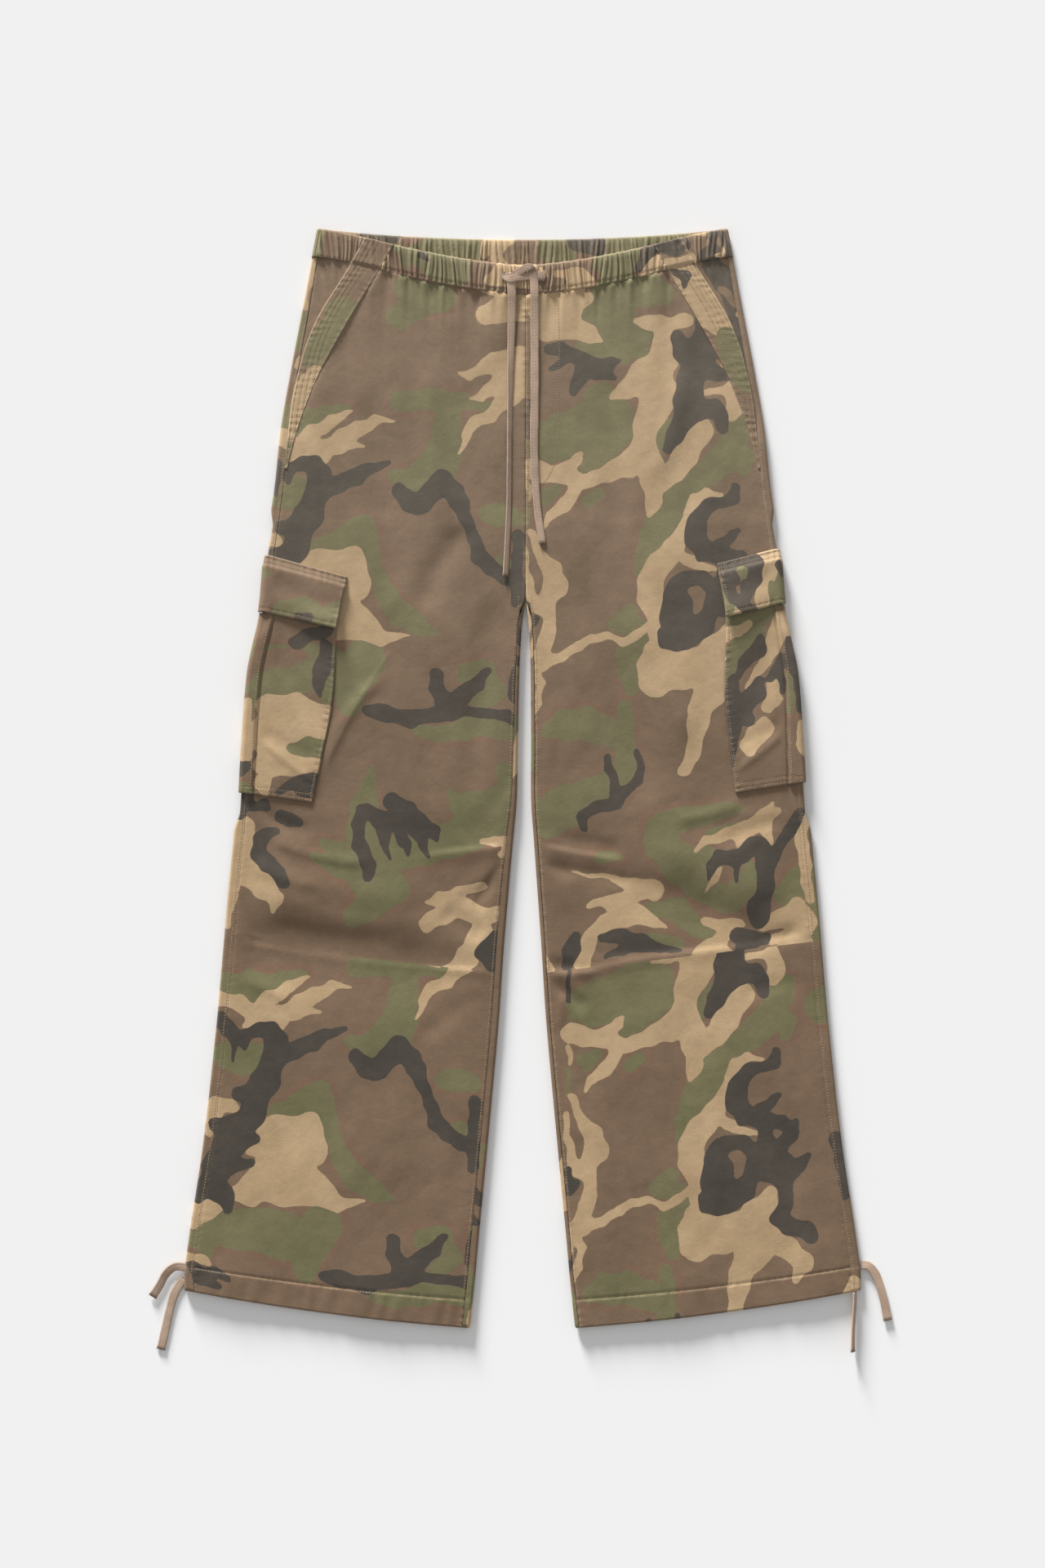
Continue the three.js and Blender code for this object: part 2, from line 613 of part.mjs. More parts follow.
// Flat woven tape: an eight-sided section, wide across and thin, turned by its roll
const TAPE_WIDTH = 10;
const TAPE_THICK = 2;
function tapeShape(roll) {
  const [w, t, cut] = [TAPE_WIDTH / 2, TAPE_THICK / 2, 0.6];
  const corners = [
    [t - cut, w], [t, w - cut], [t, cut - w], [t - cut, -w],
    [cut - t, -w], [-t, cut - w], [-t, w - cut], [cut - t, w],
  ];
  const [cos, sin] = [Math.cos(roll), Math.sin(roll)];
  return new THREE.Shape(corners.map(([x, y]) => new THREE.Vector2(x * cos - y * sin, x * sin + y * cos)));
}

function tape(points, roll = 0) {
  const path = new THREE.CatmullRomCurve3(points.map((p) => new THREE.Vector3(...p)), false, 'centripetal');
  const steps = Math.max(6, Math.round(path.getLength() / (2.2 * TAPE_WIDTH)));
  return new THREE.ExtrudeGeometry(tapeShape(roll), { steps, extrudePath: path, bevelEnabled: false });
}

// Free ends of the waist drawstring: out of the casing's buttonholes and down the front panels.
// Each point is x, y and the tape's rise over the middle of the front cloth
const OVER_CASING = 3.6;
const OVER_CLOTH = CLOTH / 2 + 0.4 + TAPE_THICK / 2;
const WAIST_CORDS = {
  waist_cord_right: [
    [-12.5, 487, OVER_CASING], [-11.5, 478, OVER_CASING], [-10.3, 466, OVER_CASING],
    [-10.3, 455, OVER_CLOTH + 0.5], [-10.8, 430, OVER_CLOTH], [-11.6, 388, OVER_CLOTH],
    [-12.6, 325, OVER_CLOTH], [-13.2, 262, OVER_CLOTH], [-14.6, 230, OVER_CLOTH], [-16.5, 194, OVER_CLOTH],
  ],
  waist_cord_left: [
    [9.5, 490, OVER_CASING], [11, 480, OVER_CASING], [11.6, 466, OVER_CASING],
    [11.7, 455, OVER_CLOTH + 0.5], [11.7, 430, OVER_CLOTH], [11.7, 367, OVER_CLOTH],
    [11.3, 314, OVER_CLOTH], [14.2, 261, OVER_CLOTH], [19.3, 226, OVER_CLOTH],
  ],
};
const overFront = ([x, y, rise]) => [x, y, frontZ(Math.sign(x), Math.abs(x), y) + rise];

// Free ends of the hem drawstrings: out of the side of each hem and over the floor
const TAPE_ON_FLOOR = TAPE_THICK / 2;
const EDGE_ROLL = 1.2;
const EDGE_Z = (TAPE_WIDTH / 2) * Math.sin(EDGE_ROLL) + (TAPE_THICK / 2) * Math.cos(EDGE_ROLL);
const HEM_CORDS = {
  hem_cord_right_short: [
    [-326.1, -471, TAPE_ON_FLOOR], [-333, -470.8, TAPE_ON_FLOOR], [-339.5, -473.5, TAPE_ON_FLOOR],
    [-345, -479.5, TAPE_ON_FLOOR], [-350, -489, TAPE_ON_FLOOR], [-357, -500, TAPE_ON_FLOOR],
  ],
  hem_cord_right_long: [
    [-330.3, -486.6, TAPE_ON_FLOOR], [-333, -491, TAPE_ON_FLOOR], [-336.5, -499, TAPE_ON_FLOOR],
    [-340.5, -513, TAPE_ON_FLOOR], [-344.5, -531, TAPE_ON_FLOOR], [-349, -551, TAPE_ON_FLOOR],
  ],
  hem_cord_left_wide: [
    [326.9, -469.5, TAPE_ON_FLOOR], [334, -470.5, TAPE_ON_FLOOR], [340.5, -478, TAPE_ON_FLOOR],
    [345, -489.5, TAPE_ON_FLOOR], [348.3, -502, TAPE_ON_FLOOR], [352.5, -523, TAPE_ON_FLOOR],
  ],
};
const EDGE_CORD = [
  [320.5, -495.6, EDGE_Z], [320.3, -508, EDGE_Z], [319.6, -520, EDGE_Z],
  [318.9, -534, EDGE_Z], [318.6, -553, EDGE_Z],
];

const trousers = new THREE.Group();
for (const [side, name] of [[-1, 'right'], [1, 'left']]) {
  addPiece(trousers, `front_leg_${name}`, frontLeg(side), CLOTH_LOOK);
  addPiece(trousers, `back_leg_${name}`, backLeg(side), CLOTH_LOOK);
  addPiece(trousers, `pocket_band_${name}`, pocketBand(side), CLOTH_LOOK);
  addPiece(trousers, `pocket_facing_${name}`, pocketFacing(side), CLOTH_LOOK);
  addPiece(trousers, `cargo_pocket_${name}`, cargoPocket(side), CLOTH_LOOK);
  addPiece(trousers, `cargo_flap_${name}`, cargoFlap(side), CLOTH_LOOK);
}
addPiece(trousers, 'waist_casing_front', frontCasing(), CLOTH_LOOK);
addPiece(trousers, 'waist_casing_back', backCasing(), CLOTH_LOOK);
for (const [name, points] of Object.entries(WAIST_CORDS)) {
  addPiece(trousers, name, tape(points.map(overFront)), TAPE_LOOK);
}
for (const [name, points] of Object.entries(HEM_CORDS)) addPiece(trousers, name, tape(points), TAPE_LOOK);
addPiece(trousers, 'hem_cord_left_edge', tape(EDGE_CORD, EDGE_ROLL), TAPE_LOOK);

export default trousers;
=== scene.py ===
import math

import bpy
import mathutils
import numpy as np
from mathutils.bvhtree import BVHTree
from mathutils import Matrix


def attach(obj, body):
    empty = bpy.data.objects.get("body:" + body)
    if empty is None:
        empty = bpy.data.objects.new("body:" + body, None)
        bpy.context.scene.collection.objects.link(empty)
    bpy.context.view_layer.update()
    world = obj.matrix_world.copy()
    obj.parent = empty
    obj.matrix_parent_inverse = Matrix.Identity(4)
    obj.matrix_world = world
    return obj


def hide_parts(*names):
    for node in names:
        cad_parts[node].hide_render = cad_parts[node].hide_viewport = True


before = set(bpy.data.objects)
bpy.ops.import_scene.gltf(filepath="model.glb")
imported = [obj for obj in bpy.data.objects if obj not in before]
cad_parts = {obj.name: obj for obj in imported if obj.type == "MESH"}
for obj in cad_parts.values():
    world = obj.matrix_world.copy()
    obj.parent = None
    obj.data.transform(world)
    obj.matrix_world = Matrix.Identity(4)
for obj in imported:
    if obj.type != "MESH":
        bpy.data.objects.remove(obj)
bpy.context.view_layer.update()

# The camera hangs straight above the garment. The picture is 1280 by 1920, and one of its
# pixels is 0.788 mm on the cloth.
bpy.ops.object.select_all(action="DESELECT")
bpy.ops.object.camera_add(location=(0, -0.0055, 4.203), rotation=(0, 0, 0))
camera = bpy.context.object
camera.name = "camera"
camera.data.lens = 100
camera.data.sensor_width = 36
bpy.context.scene.camera = camera

# A pale matt tabletop, and one wide soft light that rakes over the creases from far beyond the
# waist. The even light of a white room fills the shadows.
bpy.ops.object.select_all(action="DESELECT")
bpy.ops.mesh.primitive_plane_add(size=7, location=(0, 0, -0.0004))
floor = bpy.context.object
floor.name = "tabletop"
floor_finish = bpy.data.materials.new("pale matt tabletop")
floor_finish.use_nodes = True
floor_shader = floor_finish.node_tree.nodes["Principled BSDF"]
floor_shader.inputs["Base Color"].default_value = (0.93, 0.93, 0.93, 1)
floor_shader.inputs["Roughness"].default_value = 0.95
floor_shader.inputs["Specular IOR Level"].default_value = 0.1
floor.data.materials.append(floor_finish)

# the light stands 12.5 degrees over the table and a little to one side
bpy.ops.object.light_add(type="SUN", location=(-0.4, 2.6, 1.0))
lamp = bpy.context.object
lamp.name = "soft light beyond the waist"
lamp.data.angle = math.radians(14)
lamp.data.energy = 7.05
lamp.rotation_euler = (math.radians(-77.5), 0, math.radians(18))

room = bpy.data.worlds.new("white room")
bpy.context.scene.world = room
room.use_nodes = True
room.node_tree.nodes["Background"].inputs["Color"].default_value = (1, 1, 1, 1)
room.node_tree.nodes["Background"].inputs["Strength"].default_value = 0.46
bpy.context.scene.view_settings.view_transform = "Standard"

# The drawstring of the waist: a flat ribbed cotton tape, half-knotted at the centre front. Its
# two ends lie down the front panels, so the shape of those panels is set out first.
CLOTH = 1.6
FRONT_MID = 5.8
CROTCH_Y = 190
SEAM_GAP = 0.3
CENTRE_SHIFT = 2.8
CENTRE_SHIFT_END = -230

# height, half width of the outline, inner edge, and the side seam's distance inside the outline
Y, OUTLINE, INNER, SEAM = range(4)
STATIONS = np.array([
    (540, 196, 0.15, 4), (497, 204, 0.15, 4.5), (449, 213, 0.15, 5.5), (396, 223, 0.15, 6.2),
    (338, 233, 0.15, 7.3), (275, 240, 0.15, 8.5), (215, 250, 0.15, 10), (190, 252, 0.15, 10),
    (168, 254, 0.7, 10), (150, 257, 2.9, 10), (129, 262, 4.3, 10), (101, 267.5, 5.4, 10),
    (32, 273, 6.4, 10), (-21, 276, 6.9, 10), (-60, 279, 10, 10), (-110, 284, 14, 10),
    (-162, 288.5, 18, 10), (-236, 295, 23, 10), (-352, 308, 33.5, 10), (-441, 321.5, 42, 9.5),
    (-480, 326, 45.5, 9), (-530, 324, 51, 9),
])

# folds of the front cloth: from a point to a point, with a sag in the middle, the height over
# the cloth, below zero for a trough, and the widths of the sides that face the waist and the hem
FOLDS = {
    -1: (
        (286, -154, 24, -186, -6, 1.3, 1.6, 6), (275, -147, 150, -174, -3, 0.7, 1.5, 2),
        (276, -152, 50, -181, -6, -4.2, 18, 32), (240, -143, 130, -159, -4, -2.2, 10, 15),
        (256, -106, 96, -128, -4, 2.8, 36, 18), (14, -66, 96, -75, 1, 1.3, 2.4, 9),
        (128, 122, 189, 14, 3, 0.5, 1.2, 1.4),
        (8, -74, 47, -126, 4, -1.8, 4, 8), (200, -120, 90, -128, -4, -0.9, 12, 8),
        (40, -152, 75, -128, 0, -2, 10, 10), (190, 12, 139, 95, 8, 1.8, 7, 7),
        (60, 238, 99, 168, 4, -2.4, 12, 12), (30, 160, 50, -10, 4, -2.0, 13, 13),
        (262, -25, 205, -52, -3, -1.5, 7, 7),
        (240, -60, 150, -82, -5, 1.3, 8, 5), (272, -78, 196, -104, -4, 1.1, 9, 6),
        (150, 360, 128, 180, 5, -1.8, 14, 14), (92, 390, 78, 250, -3, 1.7, 11, 11),
        (30, 150, 62, 20, 3, 0.7, 12, 12), (40, -210, 96, -250, 3, -0.9, 9, 9),
        (284, -190, 226, -214, 2, 1, 8, 6), (60, -300, 84, -420, -3, 0.8, 12, 12),
        (268, -300, 236, -460, 4, -0.8, 14, 14), (160, -330, 176, -470, 3, 0.6, 16, 16),
        (20, -100, 60, -118, 0, -1.2, 7, 7), (212, 330, 176, 250, 5, 0.7, 9, 9),
    ),
    1: (
        (60, -185, 225, -161, 3, 1, 1.8, 8), (12, -187, 72, -186, -1, 1.5, 2.2, 6),
        (20, -179, 52, -182, 0, -2.2, 7, 7), (14, -64, 92, -78, -1, 1.1, 1.8, 8),
        (34, -57, 92, -68, 0, -1.6, 8, 8), (20, -84, 112, -101, 0, -1.7, 6, 8),
        (100, -98, 234, -150, -5, -4.4, 16, 26), (130, -62, 246, -108, -4, 2.3, 30, 17),
        (288, -149, 218, -161, 0, 1.4, 1.8, 12),
        (284, -146, 214, -160, 0, -2.9, 9, 10), (70, -168, 190, -160, -2, -0.9, 10, 4),
        (50, 190, 120, -20, 6, -2.4, 14, 14), (110, 160, 160, 40, 4, 2.3, 14, 14),
        (78, 390, 92, 230, 4, -2.0, 13, 13), (150, 390, 128, 290, -4, 1.5, 11, 11),
        (208, -24, 150, -40, -2, 1.3, 7, 7), (250, -40, 196, -62, 3, -1.1, 8, 8),
        (24, -196, 60, -222, 2, -1.8, 7, 7), (40, -208, 34, -240, 0, 1, 6, 6),
        (270, -196, 214, -208, 2, -1, 9, 9), (120, -260, 140, -420, 4, 0.7, 16, 16),
        (262, -330, 250, -480, -3, -0.8, 12, 12), (70, -330, 80, -480, 2, 0.7, 12, 12),
        (200, 120, 214, 20, 3, -0.7, 10, 10), (40, 120, 60, 30, 2, 0.7, 10, 10),
    ),
}


def mix(a, b, t):
    return a + (b - a) * t


def smooth(t):
    t = np.clip(t, 0, 1)
    return t * t * (3 - 2 * t)


def bell(distance, width):
    return np.exp(-(distance / width) ** 2)


def along(table, column, y):
    """Value of a column at height y, on a smooth curve through the table's rows."""
    heights = table[:, 0].astype(float)
    values = table[:, column].astype(float)
    y = np.asarray(y, float)
    low = np.clip(np.searchsorted(-heights, -y, side="left") - 1, 0, len(table) - 2)
    high = low + 1
    before = np.maximum(low - 1, 0)
    after = np.minimum(high + 1, len(table) - 1)
    span = heights[high] - heights[low]
    slope_low = (values[high] - values[before]) / (heights[high] - heights[before])
    slope_high = (values[after] - values[low]) / (heights[after] - heights[low])
    t = np.clip((y - heights[low]) / span, 0, 1)
    straight = (values[high] - values[low]) / span
    bend = t * (1 - t) * ((1 - t) * (slope_low - straight) - t * (slope_high - straight))
    return mix(values[low], values[high], t) + bend * span


def world_x(side, x, y):
    """Leg coordinates run outwards from the centre seam, which lies a little to one side."""
    shift = CENTRE_SHIFT * smooth((y - CENTRE_SHIFT_END) / (CROTCH_Y - CENTRE_SHIFT_END))
    return side * x + shift * (1 - x / along(STATIONS, OUTLINE, y))


def pocket_mask(y):
    return smooth((262 - y) / 20) * smooth((y + 52) / 20)


def fold_rise(side, x, y):
    rise = np.zeros(np.broadcast(x, y).shape)
    for x0, y0, x1, y1, sag, height, width_up, width_down in FOLDS[side]:
        dx, dy = x1 - x0, y1 - y0
        length = math.hypot(dx, dy)
        t = ((x - x0) * dx + (y - y0) * dy) / length**2
        off = ((x - x0) * -dy + (y - y0) * dx) / length - sag * np.sign(dx) * 4 * t * (1 - t)
        up = off * (1 if dx > 0 else -1)
        width = np.where(up > 0, width_up, width_down)
        ends = smooth((t + 0.12) / 0.3) * smooth((1.12 - t) / 0.3)
        rise += height * ends * bell(up, width)
    return rise


def inseam_in(side, y):
    """How far the inseam lies inside a leg's inner edge: further on the lower right leg, where more
    of the back shows."""
    return 3.6 if side > 0 else mix(3.6, 7.2, smooth((70 - y) / 190))


def front_z(side, x, y):
    """Middle of the front cloth, with its folds, which die out before the seams."""
    seam = along(STATIONS, OUTLINE, y) - along(STATIONS, SEAM, y)
    from_side = smooth((seam - 2 - x) / 22)
    from_inner = smooth((x - along(STATIONS, INNER, y) - inseam_in(side, y)) / 14)
    soft = 0.75 * np.sin(x / 23 + 1.7 * np.sin(y / 61)) * np.sin(y / 37 + 1.3 * np.sin(x / 47))
    soft = (
        soft
        + 0.2 * np.sin(x / 10 + 2.1 * np.sin(y / 29)) * np.sin(y / 15 + 1.9 * np.sin(x / 21 + side))
    )
    folds = fold_rise(side, x, y) + soft
    folds = np.where(folds < 0, 3.5 * np.tanh(folds / 3.5), folds)
    return FRONT_MID + 0.5 * pocket_mask(y) + folds * from_side * from_inner


def smooth_line(points, spacing):
    """Evenly spaced points on a smooth curve through the given ones."""
    points = np.array(points, float)
    padded = np.vstack([2 * points[0] - points[1], points, 2 * points[-1] - points[-2]])
    t = np.linspace(0, 1, 24, endpoint=False)[:, None]
    parts = []
    for p0, p1, p2, p3 in zip(padded, padded[1:], padded[2:], padded[3:]):
        cubic = 2 * p0 - 5 * p1 + 4 * p2 - p3
        parts.append(0.5 * (2 * p1 + (p2 - p0) * t + cubic * t**2 + (3 * p1 - p0 - 3 * p2 + p3) * t**3))
    fine = np.vstack([*parts, points[-1:]])
    run = np.concatenate([[0], np.cumsum(np.linalg.norm(np.diff(fine, axis=0), axis=1))])
    at = np.linspace(0, run[-1], max(4, int(run[-1] / spacing)) + 1)
    return np.stack([np.interp(at, run, fine[:, k]) for k in range(3)], axis=1)


TAPE_WIDTH = 7.9
TAPE_THICK = 1.9
TAPE_RIBS = 9


def make_tape(name, route, roll=0.0, width=TAPE_WIDTH, frayed=True, narrow=1.0):
    """A ribbed woven tape along a route; roll turns it about its length and narrow curls it in."""
    line = smooth_line(route, 1.1)
    count = len(line)
    along_line = np.gradient(line, axis=0)
    along_line /= np.linalg.norm(along_line, axis=1)[:, None]
    across = np.stack([along_line[:, 1], -along_line[:, 0], np.zeros(count)], axis=1)
    across /= np.linalg.norm(across, axis=1)[:, None]
    over = np.cross(across, along_line)
    over *= np.sign(over[:, 2:3])
    rolls = np.interp(np.linspace(0, 1, count), np.linspace(0, 1, np.size(roll)), np.atleast_1d(roll))
    across, over = (
        across * np.cos(rolls)[:, None] + over * np.sin(rolls)[:, None],
        over * np.cos(rolls)[:, None] - across * np.sin(rolls)[:, None],
    )
    around = 44
    angle = np.linspace(0, 2 * np.pi, around, endpoint=False)
    flat = np.sign(np.cos(angle)) * np.abs(np.cos(angle)) ** 0.62 * width / 2
    thick = np.sign(np.sin(angle)) * np.abs(np.sin(angle)) ** 0.5 * TAPE_THICK / 2
    rib = 0.16 * np.cos(2 * np.pi * TAPE_RIBS * (flat / width + 0.5)) * np.sign(thick)
    run = np.arange(count) * 1.1
    swell = 1 + 0.025 * np.sin(run / 7.3) + 0.015 * np.sin(run / 2.9 + 1)
    swell *= np.interp(np.linspace(0, 1, count), np.linspace(0, 1, np.size(narrow)), np.atleast_1d(narrow))
    if frayed:
        swell[-3:] *= (1.02, 1.06, 1.09)
    ring = (
        line[:, None, :]
        + across[:, None, :] * (flat[None, :] * swell[:, None])[:, :, None]
        + over[:, None, :] * (thick + rib)[None, :, None]
    )
    points = ring.reshape(-1, 3).tolist() + [line[0].tolist(), line[-1].tolist()]
    faces = []
    for i in range(count - 1):
        for j in range(around):
            k = (j + 1) % around
            faces.append((i * around + j, i * around + k, (i + 1) * around + k, (i + 1) * around + j))
    first, last = count * around, count * around + 1
    for j in range(around):
        k = (j + 1) % around
        faces.append((first, k, j))
        faces.append((last, (count - 1) * around + j, (count - 1) * around + k))
    mesh = bpy.data.meshes.new(name)
    mesh.from_pydata([[v / 1000 for v in p] for p in points], [], faces)
    mesh.polygons.foreach_set("use_smooth", [True] * len(faces))
    piece = bpy.data.objects.new(name, mesh)
    bpy.context.collection.objects.link(piece)
    turned = mesh.polygons[0].normal.dot(mesh.polygons[0].center - mesh.vertices[first].co) < 0
    if turned:
        mesh.flip_normals()
    down = np.append(np.repeat(run, around), (run[0], run[-1]))
    width_at = np.append(np.tile(flat, count), (0, 0))
    for mark, values in (("down", down), ("across", width_at), ("end", run[-1] - down)):
        layer = mesh.attributes.new(mark, "FLOAT", "POINT")
        layer.data.foreach_set("value", values.astype(np.float32))
    mesh.materials.append(tape_finish)
    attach(piece, "root")
    return piece, line


def colour(red, green, blue):
    """A display colour, 0 to 255, as the linear values that a shader takes."""
    parts = []
    for value in (red, green, blue):
        value = value / 255
        parts.append(value / 12.92 if value <= 0.04045 else ((value + 0.055) / 1.055) ** 2.4)
    return (*parts, 1)


def add_node(tree, kind, settings=None, values=None, links=None):
    """One node, with its settings, the numbers on its sockets, and what is plugged into them."""
    made = tree.nodes.new(kind)
    for key, value in (settings or {}).items():
        setattr(made, key, value)
    for key, value in (values or {}).items():
        made.inputs[key].default_value = value
    for key, source in (links or {}).items():
        tree.links.new(source, made.inputs[key])
    return made


def mark_of(tree, name):
    return add_node(tree, "ShaderNodeAttribute", {"attribute_name": name}).outputs["Fac"]


def sum_of(tree, operation, first, second, clamp=False):
    """First and second are sockets or numbers."""
    made = add_node(tree, "ShaderNodeMath", {"operation": operation, "use_clamp": clamp})
    for slot, value in ((0, first), (1, second)):
        if isinstance(value, (int, float)):
            made.inputs[slot].default_value = value
        else:
            tree.links.new(value, made.inputs[slot])
    return made.outputs[0]


def spread(tree, value, low, high, to_low=0.0, to_high=1.0):
    return add_node(
        tree,
        "ShaderNodeMapRange",
        {"interpolation_type": "SMOOTHSTEP"},
        {"From Min": low, "From Max": high, "To Min": to_low, "To Max": to_high},
        {"Value": value},
    ).outputs["Result"]


def blend_colours(tree, amount, first, second, how="MIX"):
    made = add_node(tree, "ShaderNodeMix", {"data_type": "RGBA", "blend_type": how})
    for key, value in ((0, amount), (6, first), (7, second)):
        if isinstance(value, (int, float, tuple)):
            made.inputs[key].default_value = value
        else:
            tree.links.new(value, made.inputs[key])
    return made.outputs[2]


def noise(tree, place, scale, detail=3.0, roughness=0.55):
    return add_node(
        tree,
        "ShaderNodeTexNoise",
        None,
        {"Scale": scale, "Detail": detail, "Roughness": roughness},
        {"Vector": place},
    ).outputs["Fac"]


def tape_material():
    """Washed cotton tape: fine ribs along it, a tight weave across, and darker over the last few
    millimetres at its end.
    """
    finish = bpy.data.materials.new("ribbed drawstring tape")
    finish.use_nodes = True
    tree = finish.node_tree
    shader = tree.nodes["Principled BSDF"]
    place = add_node(tree, "ShaderNodeTexCoord").outputs["Object"]
    down, across, end = mark_of(tree, "down"), mark_of(tree, "across"), mark_of(tree, "end")
    chevron = sum_of(tree, "MULTIPLY", sum_of(tree, "PINGPONG", across, 0.49), 1.0)
    turns = sum_of(tree, "MULTIPLY", sum_of(tree, "ADD", down, chevron), 2 * math.pi / 1.05)
    weave = sum_of(tree, "SINE", turns, 0.0)
    cloudy = noise(tree, place, 60)
    shade = spread(tree, cloudy, 0.3, 0.7)
    base = blend_colours(tree, shade, colour(168, 143, 123), colour(187, 162, 141))
    ribbed = spread(tree, weave, -1, 1)
    base = blend_colours(tree, sum_of(tree, "MULTIPLY", ribbed, 0.22), base, colour(196, 172, 152))
    tip = spread(tree, end, 1.2, 4.5, 1.0, 0.0)
    base = blend_colours(tree, sum_of(tree, "MULTIPLY", tip, 0.75), base, colour(84, 66, 54))
    tree.links.new(base, shader.inputs["Base Color"])
    shader.inputs["Roughness"].default_value = 0.82
    shader.inputs["Sheen Weight"].default_value = 0.25
    shader.inputs["Sheen Roughness"].default_value = 0.5
    shader.inputs["Specular IOR Level"].default_value = 0.25
    fuzz = noise(tree, place, 1500, 2)
    raised = sum_of(tree, "ADD", sum_of(tree, "MULTIPLY", weave, 0.5), fuzz)
    bump = add_node(
        tree, "ShaderNodeBump", None, {"Strength": 0.55, "Distance": 0.00025}, {"Height": raised}
    )
    tree.links.new(bump.outputs["Normal"], shader.inputs["Normal"])
    return finish


tape_finish = tape_material()

OVER_CASING = 3.3
OVER_CLOTH = CLOTH / 2 + 0.3 + TAPE_THICK / 2


def on_front(points):
    """Points given as x, y and the rise over the front cloth."""
    return [(x, y, float(front_z(int(np.sign(x)), abs(x), y)) + rise) for x, y, rise in points]


WAIST_ENDS = {
    "right": (
        (-12.5, 487, OVER_CASING), (-11.5, 478, OVER_CASING), (-10.3, 466, OVER_CASING),
        (-10.3, 455, OVER_CLOTH + 0.5), (-10.8, 430, OVER_CLOTH), (-11.6, 388, OVER_CLOTH),
        (-12.6, 325, OVER_CLOTH), (-13.2, 262, OVER_CLOTH), (-14.6, 230, OVER_CLOTH),
        (-16.5, 194, OVER_CLOTH),
    ),
    "left": (
        (9.5, 490, OVER_CASING + 0.6), (11, 480, OVER_CASING), (11.6, 466, OVER_CASING),
        (11.7, 455, OVER_CLOTH + 0.5), (11.7, 430, OVER_CLOTH), (11.7, 367, OVER_CLOTH),
        (11.3, 314, OVER_CLOTH), (14.2, 261, OVER_CLOTH), (19.3, 226, OVER_CLOTH),
    ),
}
WAIST_NARROW = {"right": (1, 0.95, 0.85, 0.68, 0.62, 0.6, 0.66, 0.7), "left": (1, 1, 1, 1, 0.9, 0.85)}
WAIST_ROLLS = {"right": (0.0, 0.1, 0.45, 0.6, 0.55, 0.4, 0.5), "left": (0.0, 0.12, 0.1, 0.15, 0.2, 0.1)}

# The half knot: the strand from the wearer's left passes under the other and wraps round it,
# and the strand from the wearer's right arches over the top edge and falls on the left.
KNOT = {
    "knot_wrap": ((18.5, 483.5, 8.6), (12, 484.2, 8.6), (2, 483, 8.8), (-6, 482, 9.9), (-12, 480.6, 10),
                  (-16.2, 483, 9.3), (-15.5, 487, 8.6)),
    "knot_arch": ((-8, 485.5, 9.2), (-1.5, 488.5, 9.8), (3.6, 491.6, 10.4), (7.6, 491.6, 10.6),
                  (9.8, 488.4, 10.3)),
    "knot_tail": ((18.6, 488.8, 9.2), (18.8, 484, 9.3), (18.2, 478.2, 8.8)),
}
for knot_name, knot_route in KNOT.items():
    knot_piece, _ = make_tape(knot_name, knot_route, frayed=False, width=7.2)
for end_name, end_points in WAIST_ENDS.items():
    node_name = f"waist_cord_{end_name}"
    end_piece, end_line = make_tape(
        f"{node_name}_tape", on_front(end_points), WAIST_ROLLS[end_name], narrow=WAIST_NARROW[end_name]
    )
    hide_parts(node_name)

# The drawstrings of the hems: the same tape comes out at the outer side of each hem and lies
# on the table in two short ends. One of them stands on its edge.
ON_TABLE = TAPE_THICK / 2
ON_EDGE = 4.6
HEM_ENDS = {
    "hem_cord_right_short": (
        ((-323, -472), (-333, -470.8), (-339.5, -473.5), (-345, -479.5), (-350, -489), (-357, -500)),
        ON_TABLE, (0.0, 0.25, 0.1),
    ),
    "hem_cord_right_long": (
        ((-327, -483.5), (-332, -490), (-336.5, -499), (-340.5, -513), (-344.5, -531), (-349, -551)),
        ON_TABLE, (0.0, 0.0, 0.0),
    ),
    "hem_cord_left_wide": (
        ((326.9, -469.5), (334, -470.5), (340.5, -478), (345, -489.5), (348.3, -502), (352.5, -523)),
        ON_TABLE, (0.2, 0.1, 0.0),
    ),
    "hem_cord_left_edge": (
        ((320.5, -495.6), (320.3, -508), (319.6, -520), (318.9, -534), (318.6, -553)),
        ON_EDGE, (1.2, 1.2, 1.1),
    ),
}
for node_name, (hem_points, hem_z, hem_roll) in HEM_ENDS.items():
    hem_level = hem_z + 0.15 + (4 * max(hem_roll) if max(hem_roll) < 1 else 0)
    hem_route = [(x, y, hem_level) for x, y in hem_points]
    hem_piece, hem_line = make_tape(f"{node_name}_tape", hem_route, hem_roll)
    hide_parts(node_name)

# The front panels: cotton sewn to the waist casing, the pocket bands and the side strips, with a
# hem turned up round a drawstring. Gathers from the casing run out in them as short puckers.
SIDE_NAME = {-1: "right", 1: "left"}
BAND_END_Y = 298
WAIST_FRONT_Y = 494.5
WAIST_BACK_Y = 519.5
WAIST_HALF = 198
BAND_TOP_X = 152
FRONT_CASING = 27.5
BACK_CASING = 30
HEM_Y = -530
HEM_DEPTH = 26
FRONT_TOP = WAIST_FRONT_Y - FRONT_CASING - SEAM_GAP
BACK_TOP = WAIST_BACK_Y - BACK_CASING - SEAM_GAP
TUCKED = 2.2
SHELL = 1.1

# height, the band's edge at the front panel, and its edge at the pocket's mouth
BAND_FRONT, BAND_MOUTH = 1, 2
BAND_STATIONS = np.array([
    (530, 116.5, 148), (490, 139, 169.5), (449, 164, 195), (420, 180.5, 208), (391, 196, 216.3),
    (365, 207, 222), (340, 216, 225.2), (314, 223.5, 228.2), (296, 227.5, 230),
])


